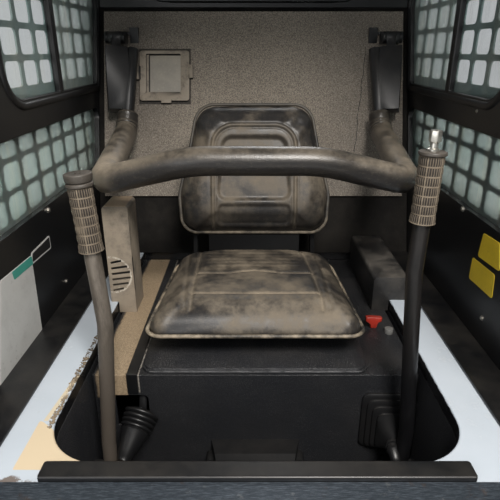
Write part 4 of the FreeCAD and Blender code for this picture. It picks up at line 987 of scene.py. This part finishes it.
def levers():
    """Grips with their collars, the left cap's disc with a round socket in its middle, and the right lever's hexagonal
    stub.
    """
    tops = [Vector(base) + Vector(axis).normalized() * GRIP_LONG for _side, base, axis, _worn in GRIPS]
    for side, base, axis, worn in GRIPS:
        heading = Vector(axis).normalized()
        sleeve = f"lever_{side}_sleeve"
        stand_in(sleeve, grip_mesh(sleeve, base, heading, worn), f"lever_{side}_grip")
        collar_at = Vector(base) + heading * (GRIP_LONG - GRIP_COLLAR)
        profile = ((0.0195, -0.0005), (0.0212, 0.0008), (0.0228, 0.0022), (0.023, 0.0045), (0.022, 0.0066),
                   (0.019, 0.0078))
        collar = lathed(f"lever_{side}_collar", profile, collar_at, heading)
        add_piece(f"lever_{side}_collar", collar, f"lever_{side}", MATERIALS["cap_plastic"])
    profile = ((0.019, 0.0), (0.0212, 0.001), (0.0222, 0.003), (0.023, 0.0085), (0.0232, 0.012),
               (0.023, 0.0138), (0.0222, 0.0147), (0.0212, 0.0149), (0.02, 0.0143), (0.008, 0.0139),
               (0.0066, 0.0142), (0.0052, 0.0142), (0.0046, 0.011))
    stand_in("lever_left_disc", lathed("lever_left_disc", profile, tops[0], GRIPS[0][2], 64), "lever_left_cap")

    def hexagonal(radius, reach, angle):
        return radius if reach < 0.0145 else min(radius * hexagon(angle) * 1.04, radius)

    profile = ((0.0096, 0.0), (0.0096, 0.003), (0.0068, 0.0045), (0.0064, 0.0125), (0.0088, 0.014),
               (0.01, 0.0152), (0.01, 0.03), (0.0094, 0.0318), (0.0062, 0.033))
    stub = lathed("lever_right_bolt", profile, tops[1], GRIPS[1][2], 60, hexagonal, sharp=28.0)
    stand_in("lever_right_bolt", stub, "lever_right_stub")


# Boots

BOOT_LEFT_FOOT = Vector((-0.238, BOX_FRONT, 0.33))
BOOT_LEFT_AXIS = Vector((-0.27, -0.8, -0.55)).normalized()

# Right boot's rings in mm: half width and height, reach forward, shift aside and up
BOOT_RIGHT = (
    (47, 67, 0, 0, 0), (48, 68, 2, 0, 0), (48, 68, 6, 0, 0), (45, 65, 8.5, 1, -1), (41, 60, 9, 3, -4),
    (41, 60, 13, 3, -4), (38, 56, 15, 4, -5), (34, 52, 15.5, 6, -8), (34, 52, 19.5, 6, -8), (31, 48, 21.5, 7, -9),
    (28, 44, 22, 9, -12), (28, 44, 26, 9, -12), (26, 40, 28, 9, -13), (21, 26, 38, 10, -20),
    (14.5, 14.5, 47, 11, -26), (15.5, 15.5, 48.5, 11, -27), (15.5, 15.5, 52, 11, -28), (12.5, 12.5, 53, 11, -29),
    (12.5, 12.5, 56, 11, -30), (14, 14, 57, 11, -31), (14, 14, 60, 11, -32), (11, 11, 61.5, 11, -33),
    (10, 10, 75, 13, -42), (8.5, 8.5, 82, 14, -47),
)
BOOT_POINTS = 72


def boots():
    """Pleated bellows on the left with its rod, stepped boot with a nozzle on the right."""
    profile = [(0.024, 0.0)]
    for fold in range(4):
        reach = 0.004 + 0.0095 * fold
        wide = 0.0375 - 0.0012 * fold
        profile += [(wide - 0.0065, reach), (wide - 0.001, reach + 0.0018), (wide, reach + 0.0042),
                    (wide - 0.001, reach + 0.0066), (wide - 0.006, reach + 0.0085)]
    profile += [(0.03, 0.044), (0.0285, 0.048), (0.024, 0.064), (0.0185, 0.082), (0.0145, 0.096),
                (0.013, 0.099), (0.0125, 0.104), (0.0085, 0.105)]
    left = lathed("boot_left_bellows", profile, BOOT_LEFT_FOOT, BOOT_LEFT_AXIS, 56)

    rings = []
    for values in BOOT_RIGHT:
        half_wide, half_high, reach, aside, shift = (0.001 * value for value in values)
        radius = min(0.014, 0.98 * min(half_wide, half_high))
        outline = closed_outline(((-half_wide, -half_high), (half_wide, -half_high), (half_wide, half_high),
                                  (-half_wide, half_high)), (radius,) * 4, 0.004)
        step = sum((a - b).length for a, b in zip(outline, outline[1:] + outline[:1])) / BOOT_POINTS
        rings.append([Vector((0.272 + aside + point.x, BOX_FRONT - reach, 0.309 + shift + point.y))
                      for point in evenly(outline, step, closed=True)[:BOOT_POINTS]])
    right = skin("boot_right_gaiter", rings)

    rod_start = BOOT_LEFT_FOOT + Vector((0, 0.018, 0.038))
    rod = skin("rod", [[place + Vector((0.008 * math.cos(turn), 0, 0.008 * math.sin(turn))) for turn in angles(24)]
                       for place in (rod_start, BOOT_LEFT_FOOT)])
    stand_in("linkage_boots", joined("linkage_boots", (left, right, rod), 50.0), "boots")


# Cab details

def punched(name, loops, thick, place):
    """Plate of an outline with holes; place turns its flat points and depth into the frame."""
    work = bmesh.new()
    sides = []
    for depth in (0.0, thick):
        edges, rings = [], []
        for loop in loops:
            ring = [work.verts.new(place(point, depth)) for point in loop]
            edges += [work.edges.new((ring[index - 1], ring[index])) for index in range(len(ring))]
            rings.append(ring)
        bmesh.ops.triangle_fill(work, use_beauty=True, use_dissolve=False, edges=edges)
        sides.append(rings)
    for near, far in zip(*sides):
        for index in range(len(near)):
            work.faces.new((near[index - 1], near[index], far[index], far[index - 1]))
    bmesh.ops.recalc_face_normals(work, faces=work.faces)
    return mesh_of(name, work, 30.0)


# Guard plates: front, low and high edges and lower front corner; then the grid of their holes
GUARD_PLATES = ((-0.11, 0.931, 1.57, 0.085), (-0.43, 0.706, 0.877, 0.025))
GUARD_ROW, GUARD_COLUMN = 0.961, 0.031
GUARD_RISE, GUARD_RUN = 0.064, 0.088
GUARD_BAR_Z, GUARD_BAR_Y = 0.013, 0.018
GUARD_RIM = 0.008
GUARD_LEAST = 0.02
GUARD_ROUND = 0.011
SLANT_FOOT, SLANT_TOP, SLANT_RUN = 0.34, 1.16, 0.3725
POST = 0.004


def slant(height):
    """Front face of the leaning rear wall at a height."""
    return SLANT_FOOT + SLANT_RUN * (min(height, SLANT_TOP) - DECK_TOP)


def guard_holes(front, low, high, corner):
    """Holes with round corners, on the grid that both plates share."""
    holes = []
    row = math.floor((low - GUARD_ROW) / GUARD_RISE)
    while GUARD_ROW + row * GUARD_RISE < high:
        bottom = max(GUARD_ROW + row * GUARD_RISE + GUARD_BAR_Z / 2, low + GUARD_RIM)
        top = min(GUARD_ROW + (row + 1) * GUARD_RISE - GUARD_BAR_Z / 2, high - GUARD_RIM)
        row += 1
        if top - bottom < GUARD_LEAST:
            continue
        edge = min(slant(bottom), slant(top)) - POST - GUARD_RIM
        below = max(low + corner - bottom, 0)
        rounded_edge = front + corner - math.sqrt(max((corner - GUARD_RIM) ** 2 - below ** 2, 0))
        column = math.floor((front - GUARD_COLUMN) / GUARD_RUN)
        while GUARD_COLUMN + column * GUARD_RUN < edge:
            left = max(GUARD_COLUMN + column * GUARD_RUN + GUARD_BAR_Y / 2, front + GUARD_RIM, rounded_edge)
            right = min(GUARD_COLUMN + (column + 1) * GUARD_RUN - GUARD_BAR_Y / 2, edge)
            column += 1
            if right - left >= GUARD_LEAST:
                radius = min(GUARD_ROUND, 0.45 * (right - left), 0.45 * (top - bottom))
                square = ((left, bottom), (right, bottom), (right, top), (left, top))
                holes.append(closed_outline(square, (radius,) * 4, 0.006))
    return holes


def rounded_guard(side, sign):
    """Both guard plates of a side, outside the glass, with softly rounded holes."""
    node = f"side_guard_{side}"
    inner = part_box(node)[0 if sign > 0 else 1].x
    plates = []
    for front, low, high, corner in GUARD_PLATES:
        points = [(front, low), (slant(low) - POST, low)]
        radii = [corner, 0.025]
        if high > SLANT_TOP:
            points.append((slant(SLANT_TOP) - POST, SLANT_TOP))
            radii.append(0.002)
        points += [(slant(high) - POST, high), (front, high)]
        loops = [closed_outline(points, radii + [0.025, 0.025], 0.006)] + guard_holes(front, low, high, corner)
        plates.append(punched("plate", loops, 0.004,
                              lambda point, depth: Vector((inner + sign * depth, point.x, point.y))))
    round_edges(stand_in(node + "_shape", joined(node + "_shape", plates, 30.0), node), 0.0009, 1, 60, False)


# Blank plates on the cab's inner walls: side, finish, thickness, corner radius, corners as (y, z)
PLATES = (
    (-1, WHITE_FILM, 0.0008, 0.004, ((-0.335, 0.451), (-0.13, 0.454), (-0.12, 0.632), (-0.261, 0.638))),
    (-1, TEAL_FILM, 0.0012, 0.002, ((-0.2096, 0.6156), (-0.118, 0.611), (-0.1205, 0.631), (-0.214, 0.6345))),
    (-1, WHITE_FILM, 0.0008, 0.005, ((-0.1228, 0.6116), (-0.0141, 0.6068), (-0.0138, 0.6392), (-0.1182, 0.6364))),
    (-1, BLACK_FILM, 0.0012, 0.003, ((-0.119, 0.615), (-0.0175, 0.6105), (-0.0172, 0.6355), (-0.115, 0.633))),
    (1, YELLOW_FILM, 0.0009, 0.005, ((-0.205, 0.571), (-0.0925, 0.5654), (-0.0936, 0.6169), (-0.1982, 0.6214))),
    (1, YELLOW_FILM, 0.0012, 0.005, ((-0.2143, 0.6352), (-0.115, 0.6281), (-0.1226, 0.6835), (-0.1931, 0.6881))),
)


def window_lips():
    """Rubber lip that runs round each upper window outside its gasket, on the cab's inner face."""
    front, low, high, corner = GUARD_PLATES[0]
    rear_low, rear_high = slant(low) - POST, slant(SLANT_TOP) - POST
    for side, sign in (("left", -1), ("right", 1)):
        loop = closed_outline(((front, low), (rear_low, low), (rear_high, SLANT_TOP), (rear_high, high), (front, high)),
                              (corner, 0.025, 0.02, 0.025, 0.025), 0.006)
        path = [Vector((sign * INNER_WALL, point.x, point.y)) for point in loop]

        def lip(_passed, angle):
            wide, deep = 0.0085, 0.0055
            return wide * deep / math.hypot(deep * math.cos(angle), wide * math.sin(angle))

        mesh = swept(f"window_lip_{side}", path, lip, 16, closed=True, plane=Vector((1, 0, 0)))
        add_piece(f"window_lip_{side}", mesh, "station", MATERIALS["seal_rubber"])


def knob_tag():
    """Red wing knob: a moulded tag, wide at its top, with notched corners."""
    low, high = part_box("wing_knob")
    middle = (low + high) / 2
    shape = ((-0.0195, 0.029), (-0.006, 0.03), (0.0195, 0.028), (0.018, 0.0185), (0.0115, 0.017),
             (0.0085, 0.008), (0.007, 0.0), (-0.007, 0.0), (-0.008, 0.01), (-0.013, 0.015), (-0.0195, 0.019))
    outline = closed_outline(shape, (0.002,) * len(shape), 0.0015)
    edge = ((0.002, -0.007), (0.0004, -0.0058), (0.0, -0.003), (0.0, 0.003), (0.0004, 0.0058), (0.002, 0.007))
    rings = [[Vector((middle.x + point.x * (1 - inset / 0.018), middle.y + depth,
                      low.z + 0.015 + (point.y - 0.015) * (1 - inset / 0.015))) for point in outline]
             for inset, depth in edge]
    stand_in("wing_knob_tag", skin("wing_knob_tag", rings), "wing_knob")


def pocket_panel():
    """Speckled panel that shows inside the frame on the liner."""
    corners = ((-0.322, 0.915), (-0.218, 0.915), (-0.218, 1.028), (-0.322, 1.028))

    mesh = flat_plate("pocket_panel", corners, 0.0012, 0.004,
                      lambda point, depth: Vector((point.x, slant(point.y) - 0.015 - depth, point.y)))
    add_piece("pocket_panel", mesh, "station", POCKET_FILM)


def wall_plates():
    for number, (sign, finish, thick, radius, corners) in enumerate(PLATES, start=1):
        mesh = flat_plate(f"blank_plate_{number}", corners, thick, radius,
                          lambda point, depth: Vector((sign * (INNER_WALL - depth), point.x, point.y)))
        add_piece(f"blank_plate_{number}", mesh, "station", finish)


# Bolt heads: place, direction that they face, radius over the washer
BOLTS = (
    ((-INNER_WALL, 0.0024, 0.6951), (1, 0, 0), 0.0075), ((-INNER_WALL, 0.044, 0.4933), (1, 0, 0), 0.006),
    ((INNER_WALL, -0.0047, 0.6997), (-1, 0, 0), 0.0075), ((INNER_WALL, -0.1809, 0.5134), (-1, 0, 0), 0.006),
    ((INNER_WALL, 0.0058, 0.9175), (-1, 0, 0), 0.0045),
)


def bolt_head(place, facing, radius):
    """Washer and hexagonal head."""
    def shape(wide, reach, angle):
        return wide if reach < 0.16 * radius else wide * hexagon(angle)

    shares = ((1, 0), (1, 0.1), (0.96, 0.15), (0.7, 0.17), (0.7, 0.55), (0.62, 0.62))
    profile = [(wide * radius, reach * radius) for wide, reach in shares]
    return lathed("bolt_head", profile, place, facing, 24, shape, sharp=25.0)


def bolts():
    mesh = joined("wall_bolts", [bolt_head(*bolt) for bolt in BOLTS], 25.0)
    add_piece("wall_bolts", mesh, "station", BOLT_STEEL)


def rim_gravel():
    """Loose stones and crumbs of dirt on the deck beside the opening's left edge."""
    spread = random.Random(7)
    work = bmesh.new()
    for _number in range(420):
        y = spread.uniform(-0.44, -0.12)
        x = -0.3445 - 0.008 * spread.random() ** 2 - 0.003 * spread.random()
        size = 0.0008 + 0.0026 * spread.random() ** 3
        stone = bmesh.ops.create_icosphere(work, subdivisions=1, radius=size)
        for vertex in stone["verts"]:
            vertex.co *= 1 + 0.35 * noise.noise(vertex.co * 900 + Vector((y * 70, 0, 0)))
            vertex.co.z *= 0.7
            vertex.co += Vector((x, y, DECK_TOP + 0.4 * size))
    finish = dusted("gravel_finish", (0.1, 0.075, 0.05), 0.8, 0.5, 0.5, dust=(0.4, 0.32, 0.22))
    add_piece("rim_gravel", mesh_of("rim_gravel", work), "station", finish.material)


# Rigid nodes with rounded edges: width of the rounding, and the nodes
ROUNDED = (
    (0.0012, "trim_strip step_plate"), (0.0015, "floor_ledges pocket_frame seat_rails"), (0.0018, "round_button"),
    (0.002, "chassis_front chassis_rear belly_plate seat_pan pivot_clevises lever_pivots"), (0.0022, "duct_box"),
    (0.0025, "chassis_sides footwell_hood"), (0.003, "cab_side_left cab_side_right rear_wall chassis_deck footwell"),
    (0.003, "seat_box hinge_ears window_gasket_left window_gasket_right rear_gasket"), (0.0035, "lap_bar_arms"),
    (0.004, "rear_window_frame access_panel sill_bar backrest_shell"), (0.005, "front_header side_case"),
    (0.006, "roof"),
)


# Camera and light

def look_from_photograph():
    """Camera at the photograph's place and angle."""
    data = bpy.data.cameras.new("photograph_camera")
    data.lens = LENS
    data.sensor_width = SENSOR
    data.clip_start = 0.02
    camera = bpy.data.objects.new("photograph_camera", data)
    camera.location = CAMERA_PLACE
    camera.rotation_euler = (math.radians(90 - CAMERA_TILT), 0, 0)
    bpy.context.scene.collection.objects.link(camera)
    bpy.context.scene.camera = camera


def area_light(name, place, target, size, power, colour=(1, 1, 1)):
    data = bpy.data.lights.new(name, "AREA")
    data.shape = "DISK"
    data.size = size
    data.energy = power
    data.color = colour
    lamp = bpy.data.objects.new(name, data)
    lamp.location = place
    lamp.rotation_euler = (Vector(target) - Vector(place)).to_track_quat("-Z", "Y").to_euler()
    bpy.context.scene.collection.objects.link(lamp)


def light_studio():
    """Soft lamps ahead of the opening and to the sides, pale world, pale floor."""
    area_light("key", (0.5, -2.0, 2.7), (0.0, 0.1, 0.7), 0.9, 107, (1.0, 0.96, 0.91))
    area_light("fill", (-1.2, -2.2, 1.3), (0.0, 0.1, 0.7), 1.6, 13)
    area_light("rear", (0.5, 2.6, 2.6), (0.0, 0.4, 0.9), 1.6, 48)
    world = bpy.data.worlds.new("studio")
    world.use_nodes = True
    background = world.node_tree.nodes["Background"]
    background.inputs["Color"].default_value = (0.9, 0.93, 0.96, 1)
    background.inputs["Strength"].default_value = 0.48
    bpy.context.scene.world = world
    bpy.context.scene.view_settings.view_transform = "Standard"
    floor = bpy.data.meshes.new("floor")
    reach = 12.0
    corners = [(across * reach, along * reach, 0) for across, along in ((-1, -1), (1, -1), (1, 1), (-1, 1))]
    floor.from_pydata(corners, [], [(0, 1, 2, 3)])
    item = bpy.data.objects.new("floor", floor)
    bpy.context.scene.collection.objects.link(item)
    finish = Finish("floor_finish", 0.8)
    finish.colour(finish.mix(finish.noise(3.0), (0.59, 0.59, 0.58), (0.63, 0.63, 0.62)))
    floor.materials.append(finish.material)


look_from_photograph()
light_studio()
dress_frame()
for width, names in ROUNDED:
    for node in names.split():
        softened(node, width)
for side, sign in (("left", -1), ("right", 1)):
    rounded_guard(side, sign)
seat_cushion()
backrest()
lap_bar_padding()
levers()
boots()
window_lips()
knob_tag()
pocket_panel()
wall_plates()
bolts()
rim_gravel()
